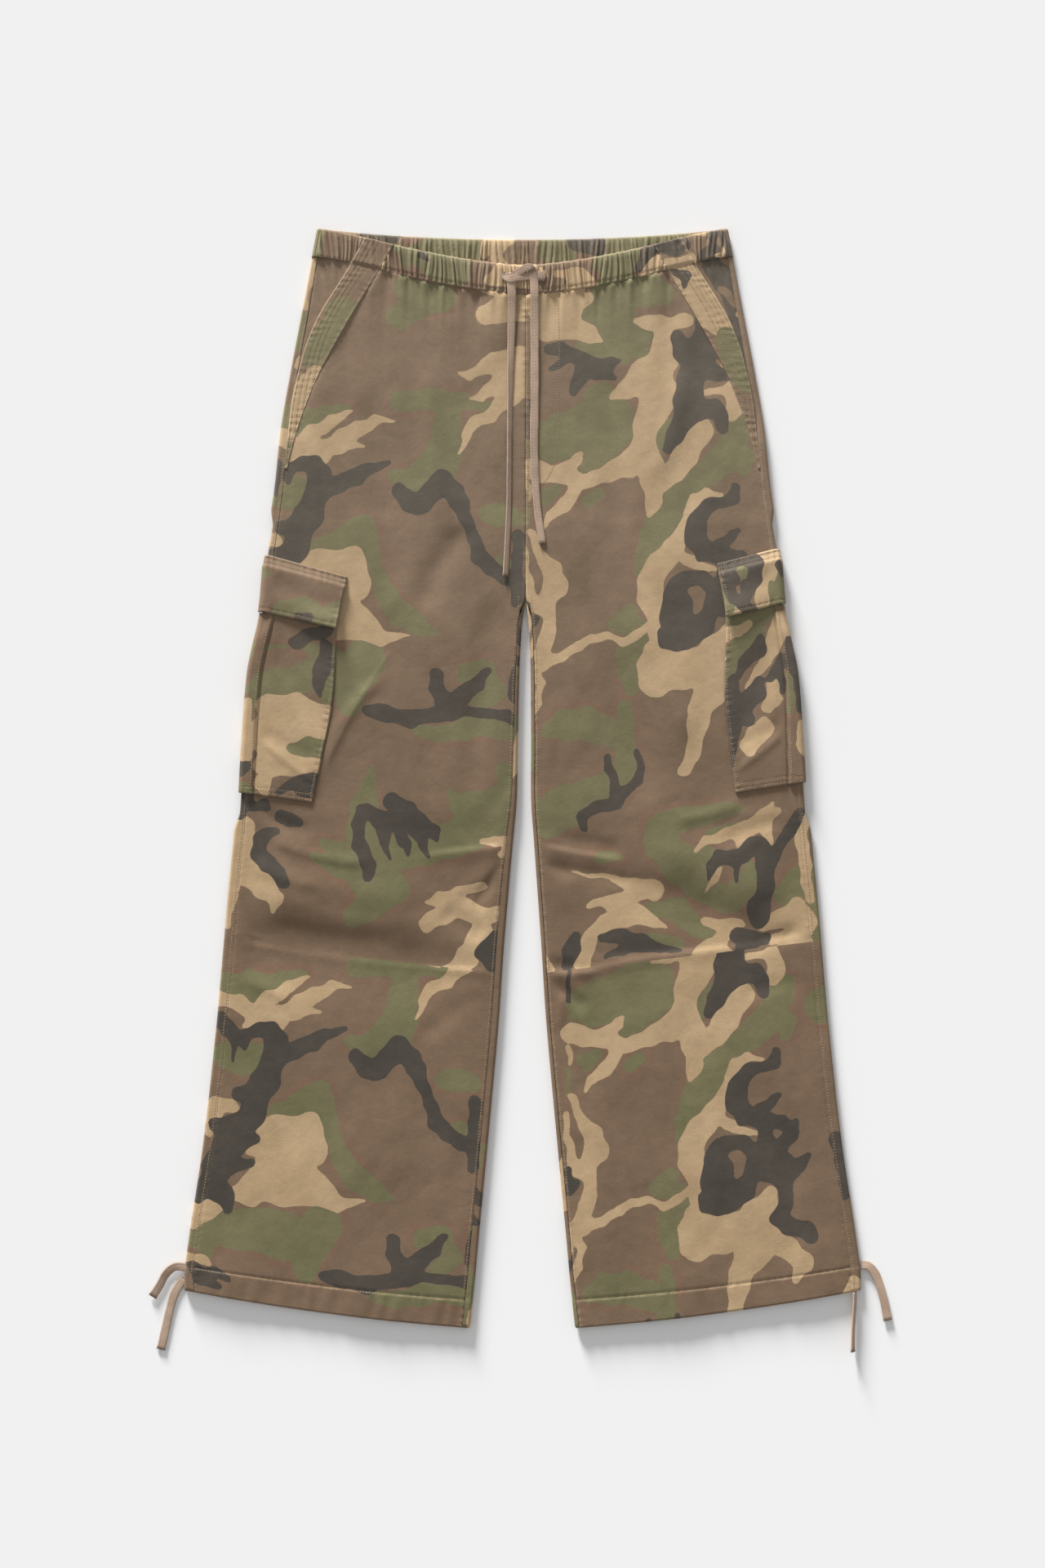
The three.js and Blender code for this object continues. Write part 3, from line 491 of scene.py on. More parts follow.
def waist_line(x, k):
    """Top of the waist: k is 0 on the front and 1 on the back."""
    eased = 1.56 * np.maximum(0, x / BAND_TOP_X - 1) ** 2
    front = WAIST_FRONT_Y + 26.5 * ((x / BAND_TOP_X) ** 1.5 - eased)
    back = WAIST_BACK_Y + 10.4 * (x / WAIST_HALF) ** 2.2
    return mix(front, back, k)


def hem_rise(x, y):
    inner, outer = along(STATIONS, INNER, y), along(STATIONS, OUTLINE, y)
    across = np.clip((x - inner) / (outer - inner), 0, 1)
    return 20 * across + 16 * across**2


def row_y(x, nominal, k, top, slack=0.0):
    """Height of a row at x, bent by the waist line and by the hem line."""
    casing = mix(FRONT_CASING, BACK_CASING, k) + SEAM_GAP + slack
    waist = (waist_line(x, k) - casing - top) * smooth((nominal - top + 110) / 110)
    return nominal + waist + hem_rise(x, nominal) * smooth((HEM_Y + 150 - nominal) / 150)


def side_seam(y):
    return along(STATIONS, OUTLINE, y) - along(STATIONS, SEAM, y)


def edge_steps(count, shares=(0.2, 0.25, 0.35, 0.5, 0.75)):
    """Shares of a width from 0 to 1, with small steps at both edges."""
    steps = np.ones(count)
    steps[: len(shares)] = shares
    steps[-len(shares):] = shares[::-1]
    return np.concatenate([[0], np.cumsum(steps)]) / steps.sum()


def gather_turn(x):
    """How many gathers lie between the centre and x, unevenly spaced."""
    return x / 5.05 + 0.34 * np.sin(x / 13.1) + 0.21 * np.sin(x / 5.9 + 0.8) + 0.3 * np.sin(x / 31)


def pucker(x, drop):
    """Puckers under the gathered casing: every second gather runs further down, into soft drapes."""
    turn = gather_turn(x)
    short = (np.abs(np.sin(np.pi * turn)) ** 0.7 - 0.6) * np.exp(-drop / 4.5)
    uneven = 0.55 + 0.45 * np.sin(turn * 1.9 + 0.4)
    long = np.sin(np.pi * turn * 0.5 + 0.6 + drop / 40) * np.exp(-drop / (9 + 9 * uneven)) * uneven
    drape = np.sin(x / 6.3 + 0.9 * np.sin(x / 21) + drop / 60) * np.exp(-drop / 55)
    drape = drape * (0.6 + 0.4 * np.sin(x / 29 + 2))
    return 1.0 * short + 1.9 * long + 1.8 * drape


def seam_pucker(run, away, depth=0.22):
    """Small uneven puckers along a line of stitches, as sewn cotton has after a wash."""
    beat = np.sin(run / 1.15 + 1.1 * np.sin(run / 4.3)) * (0.6 + 0.4 * np.sin(run / 7.7 + 1))
    return depth * beat * np.exp(-np.abs(away) / 3.0)


def cloth(name, outer, inner, marks, coarse=4):
    """A closed shell of cloth: a fine grid of outer points, a coarser one of inner points, and
    the rim between them. Points are in mm. Marks are numbers that the material reads."""
    rows, columns = outer.shape[:2]
    inner = inner[::coarse, ::coarse]
    inner_rows, inner_columns = inner.shape[:2]
    base = rows * columns
    a = (np.arange(rows - 1)[:, None] * columns + np.arange(columns - 1)).ravel()
    b = (base + np.arange(inner_rows - 1)[:, None] * inner_columns + np.arange(inner_columns - 1)).ravel()
    faces = np.stack([a, a + columns, a + columns + 1, a + 1], 1).tolist()
    faces += np.stack([b, b + 1, b + inner_columns + 1, b + inner_columns], 1).tolist()
    last_row, last_column = (rows - 1) * columns, columns - 1
    end_row, end_column = base + (inner_rows - 1) * inner_columns, inner_columns - 1
    for j in range(inner_columns - 1):
        fine = list(range(j * coarse, (j + 1) * coarse + 1))
        faces.append(fine + [base + j + 1, base + j])
        faces.append([last_row + k for k in fine[::-1]] + [end_row + j, end_row + j + 1])
    for i in range(inner_rows - 1):
        fine = [k * columns for k in range(i * coarse, (i + 1) * coarse + 1)]
        here, below = base + i * inner_columns, base + (i + 1) * inner_columns
        faces.append(fine[::-1] + [here, below])
        faces.append([k + last_column for k in fine] + [below + end_column, here + end_column])
    middle_r, middle_c = rows // 2 // coarse * coarse, columns // 2 // coarse * coarse
    side_a = outer[middle_r + 1, middle_c] - outer[middle_r, middle_c]
    side_b = outer[middle_r, middle_c + 1] - outer[middle_r, middle_c]
    outward = outer[middle_r, middle_c] - inner[middle_r // coarse, middle_c // coarse]
    if np.dot(np.cross(side_a, side_b), outward) < 0:
        faces = [face[::-1] for face in faces]
    points = np.vstack([outer.reshape(-1, 3), inner.reshape(-1, 3)]) / 1000
    mesh = bpy.data.meshes.new(name)
    mesh.from_pydata(points.tolist(), [], faces)
    mesh.polygons.foreach_set("use_smooth", [True] * len(faces))
    for mark, values in marks.items():
        values = np.broadcast_to(values, (rows, columns))
        both = np.concatenate([values.ravel(), values[::coarse, ::coarse].ravel()])
        layer = mesh.attributes.new(mark, "FLOAT", "POINT")
        layer.data.foreach_set("value", both.astype(np.float32))
    piece = bpy.data.objects.new(name, mesh)
    bpy.context.collection.objects.link(piece)
    mesh.materials.append(camo_finish)
    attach(piece, "root")
    return piece


# The print is a traditional four-colour camouflage on a brown ground: green, then tan, then
# charcoal inks, each laid over the last. It is charted as brush strokes: each point has
# its place across, its place down and the stroke's half width, all read from the photo in
# its pixels, 0.788 mm each. The repeat is as long as from the waist to the knee.
# A few charcoal strokes of the right leg, just under its cargo pocket, are painted shadow.
PHOTO_PIXEL = 0.788
PHOTO_MIDDLE = (640, 953)
INKS = ("green", "tan", "charcoal")
RIGHT_LEG_PRINT = (
    ("green", (
        ((371, 388, 5), (366, 425, 5)), ((356, 500, 5), (350, 540, 5)),
        ((500, 352, 18), (530, 352, 20)), ((488, 388, 16), (515, 374, 16), (545, 366, 14)),
        ((488, 492, 12), (520, 490, 14), (560, 492, 12), (590, 497, 7), (607, 497, 5)),
        ((550, 505, 16), (548, 530, 18), (545, 555, 22), (530, 580, 26), (500, 590, 14), (484, 583, 9)),
        ((535, 590, 26), (556, 602, 12)),
        ((426, 501, 4), (400, 507, 11), (384, 517, 12), (370, 535, 8), (362, 548, 5)),
        ((300, 510, 12), (330, 512, 14), (355, 514, 16), (380, 511, 12)),
        ((355, 520, 14), (365, 535, 12)),
        ((330, 600, 16), (350, 608, 14), (368, 596, 13), (357, 617, 9)),
        ((445, 643, 14), (425, 660, 16), (400, 668, 12), (372, 690, 14)),
        ((447, 650, 13), (458, 680, 10), (463, 705, 10), (472, 728, 12), (490, 752, 15), (514, 767, 11),
            (530, 775, 5)),
        ((448, 806, 26), (430, 835, 24), (428, 862, 16)), ((400, 820, 30), (360, 812, 26), (320, 815, 20),
            (290, 825, 10)),
        ((572, 824, 14), (592, 822, 14), (605, 846, 15), (590, 855, 14)),
        ((510, 893, 6), (535, 900, 10), (565, 893, 13), (595, 888, 14), (622, 893, 14)),
        ((598, 628, 12), (612, 630, 14), (634, 636, 10)), ((612, 690, 9), (622, 688, 8)),
        ((455, 940, 3), (452, 962, 11), (447, 990, 17), (443, 1020, 20), (460, 1045, 22),
            (490, 1045, 20)),
        ((490, 1045, 20), (520, 1040, 18), (550, 1030, 22), (578, 1015, 26), (602, 1000, 24),
            (612, 978, 18)),
        ((590, 985, 18), (562, 985, 12), (553, 966, 4)),
        ((385, 1050, 6), (402, 1056, 9), (425, 1064, 13), (455, 1080, 22), (480, 1088, 20),
            (455, 1105, 20), (432, 1125, 12)),
        ((398, 1034, 7), (415, 1040, 11), (435, 1050, 12)), ((640, 800, 9), (634, 826, 7)),
        ((620, 945, 12), (632, 990, 8)), ((318, 790, 7), (309, 825, 9), (304, 850, 6)),
    )),
    ("tan", (
        ((384, 322, 4), (377, 350, 5), (373, 378, 4)), ((366, 438, 4), (365, 448, 4)),
        ((300, 530, 10), (318, 530, 10), (345, 535, 10), (364, 550, 9)),
        ((364, 550, 9), (385, 529, 9), (406, 517, 7), (431, 503, 1.5)),
        ((366, 552, 9), (394, 552, 12), (399, 559, 8), (398, 569, 2)),
        ((366, 552, 8), (358, 563, 5), (352, 573, 2)),
        ((398, 550, 10), (420, 538, 11), (440, 525, 9), (460, 516, 6), (484, 516, 1.5)),
        ((412, 548, 8), (430, 546, 5), (445, 547, 2)),
        ((563, 457, 2), (578, 459, 6), (592, 450, 9), (610, 446, 14), (634, 440, 16)),
        ((615, 450, 15), (622, 468, 18), (626, 484, 14), (640, 462, 22)),
        ((575, 490, 2), (590, 486, 5), (606, 474, 10)),
        ((618, 492, 11), (600, 508, 8), (582, 518, 7), (570, 535, 5), (563, 556, 1.5)),
        ((594, 386, 12), (620, 378, 18), (645, 372, 20)), ((600, 350, 12), (640, 350, 18)),
        ((372, 700, 26), (412, 705, 32), (402, 745, 40), (438, 764, 22), (468, 782, 8), (503, 778, 1.5)),
        ((432, 686, 17), (440, 720, 14)), ((400, 745, 36), (360, 765, 18), (343, 768, 11)),
        ((312, 690, 8), (318, 662, 10), (335, 662, 9), (345, 668, 3)),
        ((300, 785, 16), (315, 780, 14), (290, 808, 5)), ((282, 845, 6), (300, 849, 6), (309, 857, 3)),
        ((300, 1010, 12), (296, 1040, 18), (306, 1065, 18), (324, 1083, 18), (337, 1098, 10),
            (334, 1115, 3)),
        ((284, 1020, 14), (282, 1080, 12), (280, 1110, 8), (278, 1134, 4)),
        ((523, 1106, 2.5), (540, 1100, 8), (560, 1094, 8), (592, 1085, 4)),
        ((522, 1132, 9), (540, 1122, 11), (560, 1110, 12), (590, 1122, 13), (606, 1118, 9)),
        ((590, 1138, 12), (580, 1155, 10), (572, 1170, 14), (560, 1188, 12), (545, 1194, 10)),
        ((592, 1031, 4), (605, 1031, 6), (617, 1029, 6), (622, 1040, 6), (614, 1046, 4)),
        ((640, 965, 5), (632, 1000, 4), (626, 1030, 4)),
    )),
    ("charcoal", (
        ((288, 856, 7), (300, 871, 9), (318, 866, 7), (332, 871, 5)), ((300, 871, 8), (322, 883, 4)),
        ((353, 588, 4), (358, 574, 6), (370, 567, 8), (385, 569, 10), (392, 582, 12)),
        ((392, 580, 12), (388, 605, 14), (378, 632, 17), (366, 655, 18), (360, 676, 15)),
        ((366, 645, 12), (345, 646, 9)),
        ((392, 604, 11), (412, 594, 12), (435, 585, 11), (455, 574, 6), (475, 567, 4)),
        ((312, 552, 9), (322, 556, 9), (334, 569, 9), (350, 580, 7), (356, 576, 5)),
        ((340, 580, 5), (338, 606, 1.5)),
        ((360, 676, 15), (340, 692, 18), (330, 715, 18), (318, 740, 18), (311, 758, 15), (325, 768, 14),
            (333, 788, 7)),
        ((335, 690, 13), (316, 683, 9)), ((332, 715, 14), (350, 705, 9), (366, 700, 7)),
        ((322, 737, 10), (350, 733, 8), (359, 732, 6)),
        ((312, 752, 14), (297, 775, 5)),
        ((490, 603, 10), (503, 614, 13), (513, 618, 14), (528, 603, 12), (541, 592, 15), (555, 601, 12),
            (563, 615, 10)),
        ((563, 615, 10), (572, 638, 8), (580, 660, 8), (588, 682, 9), (603, 698, 9), (620, 707, 9)),
        ((636, 656, 7), (633, 680, 7), (633, 705, 9), (634, 728, 8), (629, 742, 4)),
        ((452, 870, 8), (475, 875, 11), (505, 880, 10), (535, 876, 9), (565, 872, 7), (600, 873, 6),
            (622, 877, 6), (636, 890, 5)),
        ((535, 825, 7), (534, 843, 9), (545, 860, 12), (560, 862, 10)),
        ((598, 823, 5), (585, 836, 9), (568, 850, 12), (555, 862, 12)),
        ((636, 815, 6), (630, 835, 6), (629, 855, 7), (640, 860, 8)),
        ((444, 991, 8), (438, 1010, 8), (442, 1035, 9), (450, 1058, 9), (452, 1070, 8)),
        ((447, 990, 7), (462, 1002, 9), (475, 1006, 11)),
        ((481, 982, 11), (497, 994, 14), (512, 1008, 13), (530, 1019, 8), (536, 1028, 3)),
        ((468, 1008, 8), (472, 1030, 6), (478, 1052, 2)),
        ((485, 1012, 9), (495, 1032, 7), (501, 1049, 2)),
        ((507, 1012, 9), (517, 1032, 6), (526, 1048, 2)),
        ((338, 1018, 6), (320, 1027, 10), (318, 1042, 10), (328, 1058, 10), (340, 1068, 9),
            (350, 1080, 8)),
        # painted shadow: these charcoal strokes lie in the shade just under the cargo pocket's bottom edge
        ((312, 990, 6), (325, 985, 8)), ((342, 998, 7), (356, 1004, 8), (366, 1008, 5)),
        ((280, 985, 9), (296, 995, 8)),
        ((606, 1146, 7), (598, 1160, 10), (590, 1167, 8), (604, 1178, 13)),
        ((290, 935, 8), (306, 950, 9), (300, 985, 9)),
    )),
)
LEFT_LEG_PRINT = (
    ("green", (
        ((647, 545, 3), (647, 570, 3)), ((647, 616, 3), (647, 652, 3)),
        ((745, 352, 22), (790, 356, 22), (815, 360, 12)), ((748, 372, 20), (728, 385, 14), (760, 395, 22),
            (750, 418, 20)),
        ((780, 418, 22), (795, 410, 8)), ((762, 438, 12), (735, 430, 12), (712, 425, 6)),
        ((735, 488, 20), (752, 510, 24), (725, 520, 30), (690, 530, 24), (664, 540, 22)),
        ((700, 545, 20), (740, 540, 24), (722, 562, 14), (711, 578, 5)), ((760, 530, 17), (675, 556, 11)),
        ((662, 606, 8), (680, 601, 7), (668, 618, 5)), ((721, 616, 8), (733, 605, 7)),
        ((772, 750, 10), (755, 765, 10), (782, 768, 10)), ((792, 770, 8), (770, 800, 14), (768, 825, 12),
            (775, 845, 8)),
        ((765, 866, 9), (768, 895, 9), (768, 925, 12)), ((672, 893, 10), (695, 888, 20), (718, 886, 20),
            (742, 894, 18), (762, 912, 10)),
        ((770, 925, 14), (765, 945, 14), (760, 962, 6)),
        ((655, 988, 14), (655, 1012, 12), (685, 985, 20), (720, 968, 16), (742, 955, 10)),
        ((698, 1003, 12), (672, 1016, 10), (742, 975, 10)),
        ((816, 1008, 16), (850, 1000, 14), (880, 994, 10), (908, 988, 6)),
        ((812, 1034, 20), (835, 1060, 24), (862, 1048, 14), (852, 1080, 20), (872, 1092, 16),
            (890, 1104, 16), (910, 1088, 14), (922, 1066, 12)),
        ((905, 1010, 5), (870, 1022, 8)), ((958, 1095, 12), (975, 1082, 18), (990, 1066, 14),
            (972, 1108, 12), (992, 1104, 12)),
        ((735, 1048, 8), (757, 1050, 5)), ((800, 1112, 9), (832, 1114, 15), (852, 1136, 12),
            (880, 1148, 10)), ((795, 1150, 8), (830, 1156, 9)),
        ((815, 518, 8), (806, 540, 8), (804, 560, 7), (807, 576, 5)),
        ((910, 515, 14), (905, 530, 16), (893, 555, 20), (868, 577, 16), (845, 596, 14), (825, 616, 16),
            (811, 640, 20), (799, 662, 18), (788, 684, 11), (781, 702, 5)),
        ((915, 560, 10), (912, 580, 6)), ((990, 1190, 40), (950, 1215, 30), (920, 1240, 12)),
        ((1010, 1210, 30), (1000, 1100, 10)), ((800, 1010, 10), (798, 1040, 8)),
        ((828, 560, 4), (812, 600, 6)), ((1000, 560, 20), (960, 540, 24)),
    )),
    ("tan", (
        ((647, 577, 3), (647, 583, 3)), ((647, 594, 3), (647, 610, 3)),
        ((645, 350, 20), (700, 350, 16)), ((665, 375, 22), (692, 384, 20), (672, 402, 16), (700, 402, 15),
            (722, 410, 9), (737, 420, 2)), ((700, 372, 16), (720, 366, 8)),
        ((780, 396, 4), (793, 396, 10), (808, 395, 9), (822, 397, 7), (840, 394, 9)),
        ((812, 405, 10), (812, 425, 12), (812, 440, 18), (795, 462, 25), (808, 485, 24)),
        ((795, 465, 24), (768, 477, 11), (748, 488, 2)), ((800, 500, 19), (790, 530, 15), (785, 555, 16),
            (768, 570, 14), (745, 580, 12), (715, 590, 8), (690, 582, 11), (664, 578, 12),
            (648, 575, 12)),
        ((690, 576, 8), (706, 564, 6), (714, 556, 2)), ((705, 600, 8), (690, 619, 8), (676, 633, 5),
            (665, 645, 2)),
        ((792, 560, 16), (800, 590, 16), (800, 610, 11), (795, 632, 3)),
        ((862, 525, 12), (850, 540, 14), (838, 558, 16), (825, 578, 13), (812, 592, 9), (800, 600, 9)),
        ((860, 481, 3), (880, 478, 5), (895, 478, 10), (900, 495, 11), (895, 510, 8)),
        ((868, 415, 6), (863, 428, 3)), ((883, 448, 3), (891, 452, 3)),
        ((882, 607, 3), (865, 603, 5), (851, 611, 6), (843, 630, 7), (838, 650, 9), (825, 672, 12),
            (806, 692, 15), (796, 715, 17), (797, 737, 15), (803, 756, 9), (801, 778, 8)),
        ((838, 684, 8), (850, 689, 7), (865, 697, 4), (876, 697, 3)),
        ((800, 796, 12), (805, 822, 26), (800, 836, 18)), ((806, 820, 26), (835, 820, 25), (862, 815, 22),
            (872, 842, 24), (856, 870, 14), (852, 900, 10), (848, 925, 10), (839, 943, 8)),
        ((868, 792, 12), (885, 775, 7)), ((894, 770, 8), (886, 798, 14), (890, 824, 18), (918, 838, 13),
            (932, 856, 13), (925, 876, 4)),
        ((660, 812, 9), (690, 803, 6), (708, 792, 6), (725, 781, 5), (745, 780, 4), (762, 787, 6),
            (778, 778, 6), (792, 768, 4)),
        ((650, 653, 5), (659, 676, 5), (676, 698, 13), (680, 718, 15), (669, 738, 12), (673, 760, 8),
            (668, 786, 10), (662, 812, 9)),
        ((643, 675, 4), (646, 705, 4), (652, 738, 8), (668, 745, 10)),
        ((652, 822, 8), (662, 836, 5), (659, 860, 5), (650, 878, 3)), ((646, 815, 8), (640, 870, 6)),
        ((853, 1041, 3), (865, 1030, 6), (890, 1021, 7), (915, 1014, 10), (938, 1000, 9), (954, 992, 4)),
        ((907, 1028, 8), (908, 1044, 2)),
        ((938, 1012, 8), (941, 1031, 4)), ((880, 1062, 3), (876, 1075, 5), (866, 1090, 1.5)),
        ((945, 985, 3), (935, 996, 4)),
        ((697, 1068, 1), (725, 1071, 2.5), (752, 1076, 4), (778, 1083, 8), (801, 1090, 12)),
        ((784, 1092, 12), (770, 1098, 8), (745, 1103, 7), (722, 1109, 4)),
        ((750, 1110, 8), (780, 1120, 12), (800, 1129, 7), (815, 1135, 2)),
        ((765, 1120, 14), (740, 1132, 10), (722, 1145, 8), (718, 1160, 11), (713, 1182, 10)),
        ((862, 1127, 5), (885, 1133, 7), (905, 1131, 6)),
        ((888, 1145, 8), (875, 1160, 12), (857, 1169, 9), (885, 1170, 13)),
        ((935, 1132, 8), (960, 1124, 12), (975, 1108, 9), (986, 1130, 14), (962, 1148, 8),
            (945, 1150, 6)), ((985, 1154, 12), (962, 1168, 12), (940, 1175, 8)),
        ((980, 1000, 9), (985, 1060, 7), (992, 1100, 6)), ((660, 1175, 11), (672, 1188, 8)),
        ((985, 905, 8), (995, 880, 8)),
    )),
    ("charcoal", (
        ((646, 490, 3), (647, 536, 3)),
        ((670, 427, 6), (687, 428, 8), (702, 437, 9), (725, 447, 11), (745, 448, 9), (758, 444, 3)),
        ((714, 455, 11), (707, 470, 8), (703, 480, 5)),
        ((733, 455, 11), (752, 464, 4)), ((690, 442, 6), (675, 452, 3)),
        ((860, 390, 10), (862, 405, 10), (856, 425, 14), (854, 445, 20), (846, 465, 18), (842, 490, 16),
            (838, 512, 14), (828, 532, 12), (818, 551, 6)),
        ((829, 413, 8), (838, 432, 12), (855, 440, 16)), ((862, 440, 12), (875, 432, 9)),
        ((862, 455, 12), (882, 458, 8), (891, 462, 5)),
        ((850, 500, 16), (872, 501, 12), (885, 512, 8), (884, 525, 8)),
        ((900, 598, 6), (897, 610, 8), (885, 617, 7), (866, 620, 10), (853, 638, 12), (852, 660, 13),
            (862, 676, 13), (875, 680, 11)), ((880, 668, 9), (895, 658, 6), (905, 650, 3)),
        ((835, 712, 12), (825, 730, 14), (822, 755, 14), (837, 768, 12), (858, 767, 13), (872, 748, 10),
            (875, 722, 12), (860, 709, 9), (838, 710, 11)), ((838, 735, 8), (842, 762, 10)),
        ((820, 780, 15), (842, 780, 14), (862, 768, 10)), ((812, 788, 8), (824, 790, 8)),
        ((886, 676, 8), (905, 684, 8), (918, 692, 7), (925, 682, 3)),
        ((888, 684, 10), (888, 704, 10), (885, 735, 13)),
        ((888, 746, 13), (906, 740, 12), (914, 729, 8)), ((906, 752, 13), (926, 738, 9), (941, 724, 4)),
        ((913, 762, 10), (912, 784, 9), (904, 800, 10), (916, 812, 10), (936, 814, 11), (945, 824, 9)),
        ((744, 927, 5), (747, 943, 5), (752, 960, 6), (755, 975, 8)),
        ((781, 920, 4), (784, 940, 5), (780, 958, 6), (766, 968, 7), (757, 980, 8), (745, 986, 8),
            (728, 990, 7), (714, 1000, 7), (716, 1012, 5)),
        ((867, 1076, 2), (870, 1060, 6), (882, 1048, 9), (898, 1050, 10), (910, 1050, 9), (920, 1036, 10),
            (930, 1030, 8), (936, 1045, 12)),
        ((942, 1055, 10), (955, 1035, 8), (966, 1018, 8), (977, 996, 7)),
        ((938, 1060, 12), (936, 1090, 10), (930, 1108, 14), (930, 1122, 14)),
        ((901, 1058, 5), (901, 1081, 1.5)),
        ((902, 1145, 8), (918, 1150, 12), (912, 1170, 14), (928, 1176, 9)),
        ((918, 1150, 10), (936, 1148, 7)),
        ((735, 1148, 5), (765, 1146, 10), (785, 1153, 10), (808, 1162, 6), (835, 1163, 2)),
        ((742, 1171, 3), (762, 1164, 6), (780, 1156, 8)),
        ((705, 1146, 6), (700, 1165, 11), (694, 1182, 8)), ((645, 768, 7), (656, 756, 4)),
        ((645, 742, 6), (650, 752, 4)),
        ((650, 940, 3), (640, 960, 4)),
        ((975, 705, 10), (990, 745, 14), (985, 770, 8)), ((900, 720, 10), (920, 700, 8)),
    )),
)
# the print jumps where the knee tuck takes up cloth: the tuck's line, and the repeat's step
TUCKS = {-1: ((265, 1152), (610, 1191), (-53, 692)), 1: ((655, 1192), (1000, 1152), (50, 690))}


def soft_max(a, b, reach):
    near = np.maximum(reach - np.abs(a - b), 0) / reach
    return np.maximum(a, b) + near * near * reach / 4


def ink_depth(strokes, across, down):
    """How far inside the inked shapes a place lies, in photo pixels, and below zero outside them."""
    depth = np.full(across.shape, -14.0)
    for stroke in strokes:
        stroke = np.array(stroke, float)
        reach = stroke[:, 2].max() + 16
        low, high = stroke[:, :2].min(axis=0) - reach, stroke[:, :2].max(axis=0) + reach
        near = (across > low[0]) & (across < high[0]) & (down > low[1]) & (down < high[1])
        px, py = across[near], down[near]
        if px.size == 0:
            continue
        best = np.full(px.shape, -14.0)
        for (x0, y0, r0), (x1, y1, r1) in zip(stroke, stroke[1:]):
            dx, dy = x1 - x0, y1 - y0
            t = np.clip(((px - x0) * dx + (py - y0) * dy) / (dx * dx + dy * dy), 0, 1)
            best = soft_max(best, mix(r0, r1, t) - np.hypot(px - x0 - dx * t, py - y0 - dy * t), 3)
        depth[near] = soft_max(depth[near], best, 5)
    return depth


def print_marks(chart, across, down):
    """Depth inside each ink in mm, the later inks cut out of the earlier ones."""
    wander = 1.3 * np.sin(down / 9.1 + 2 * np.sin(across / 17)) + 0.8 * np.sin(down / 4.3 + across / 7.7)
    sway = 1.3 * np.sin(across / 8.3 + 2 * np.sin(down / 19)) + 0.8 * np.sin(across / 4.9 - down / 6.9)
    marks = {ink: np.full(across.shape, -14.0) for ink in INKS}
    for ink, strokes in chart:
        depth = ink_depth(strokes, across + wander, down + sway)
        for other in INKS:
            marks[other] = np.minimum(marks[other], -depth)
        if ink in marks:
            marks[ink] = np.maximum(marks[ink], depth)
    return {ink: values * PHOTO_PIXEL for ink, values in marks.items()}


def leg_print(side, place_x, y):
    """The print on a front panel, and the repeat that starts again below the knee tuck."""
    across, down = PHOTO_MIDDLE[0] + place_x / PHOTO_PIXEL, PHOTO_MIDDLE[1] - y / PHOTO_PIXEL
    (x0, y0), (x1, y1), (step_x, step_y) = TUCKS[side]
    chart = RIGHT_LEG_PRINT if side < 0 else LEFT_LEG_PRINT
    marks = print_marks(chart, across, down)
    again = print_marks(chart, across - step_x, down - step_y)
    for ink in INKS:
        marks[ink + "_below"] = again[ink]
    marks["below"] = (down - mix(y0, y1, (across - x0) / (x1 - x0))) * PHOTO_PIXEL
    return marks


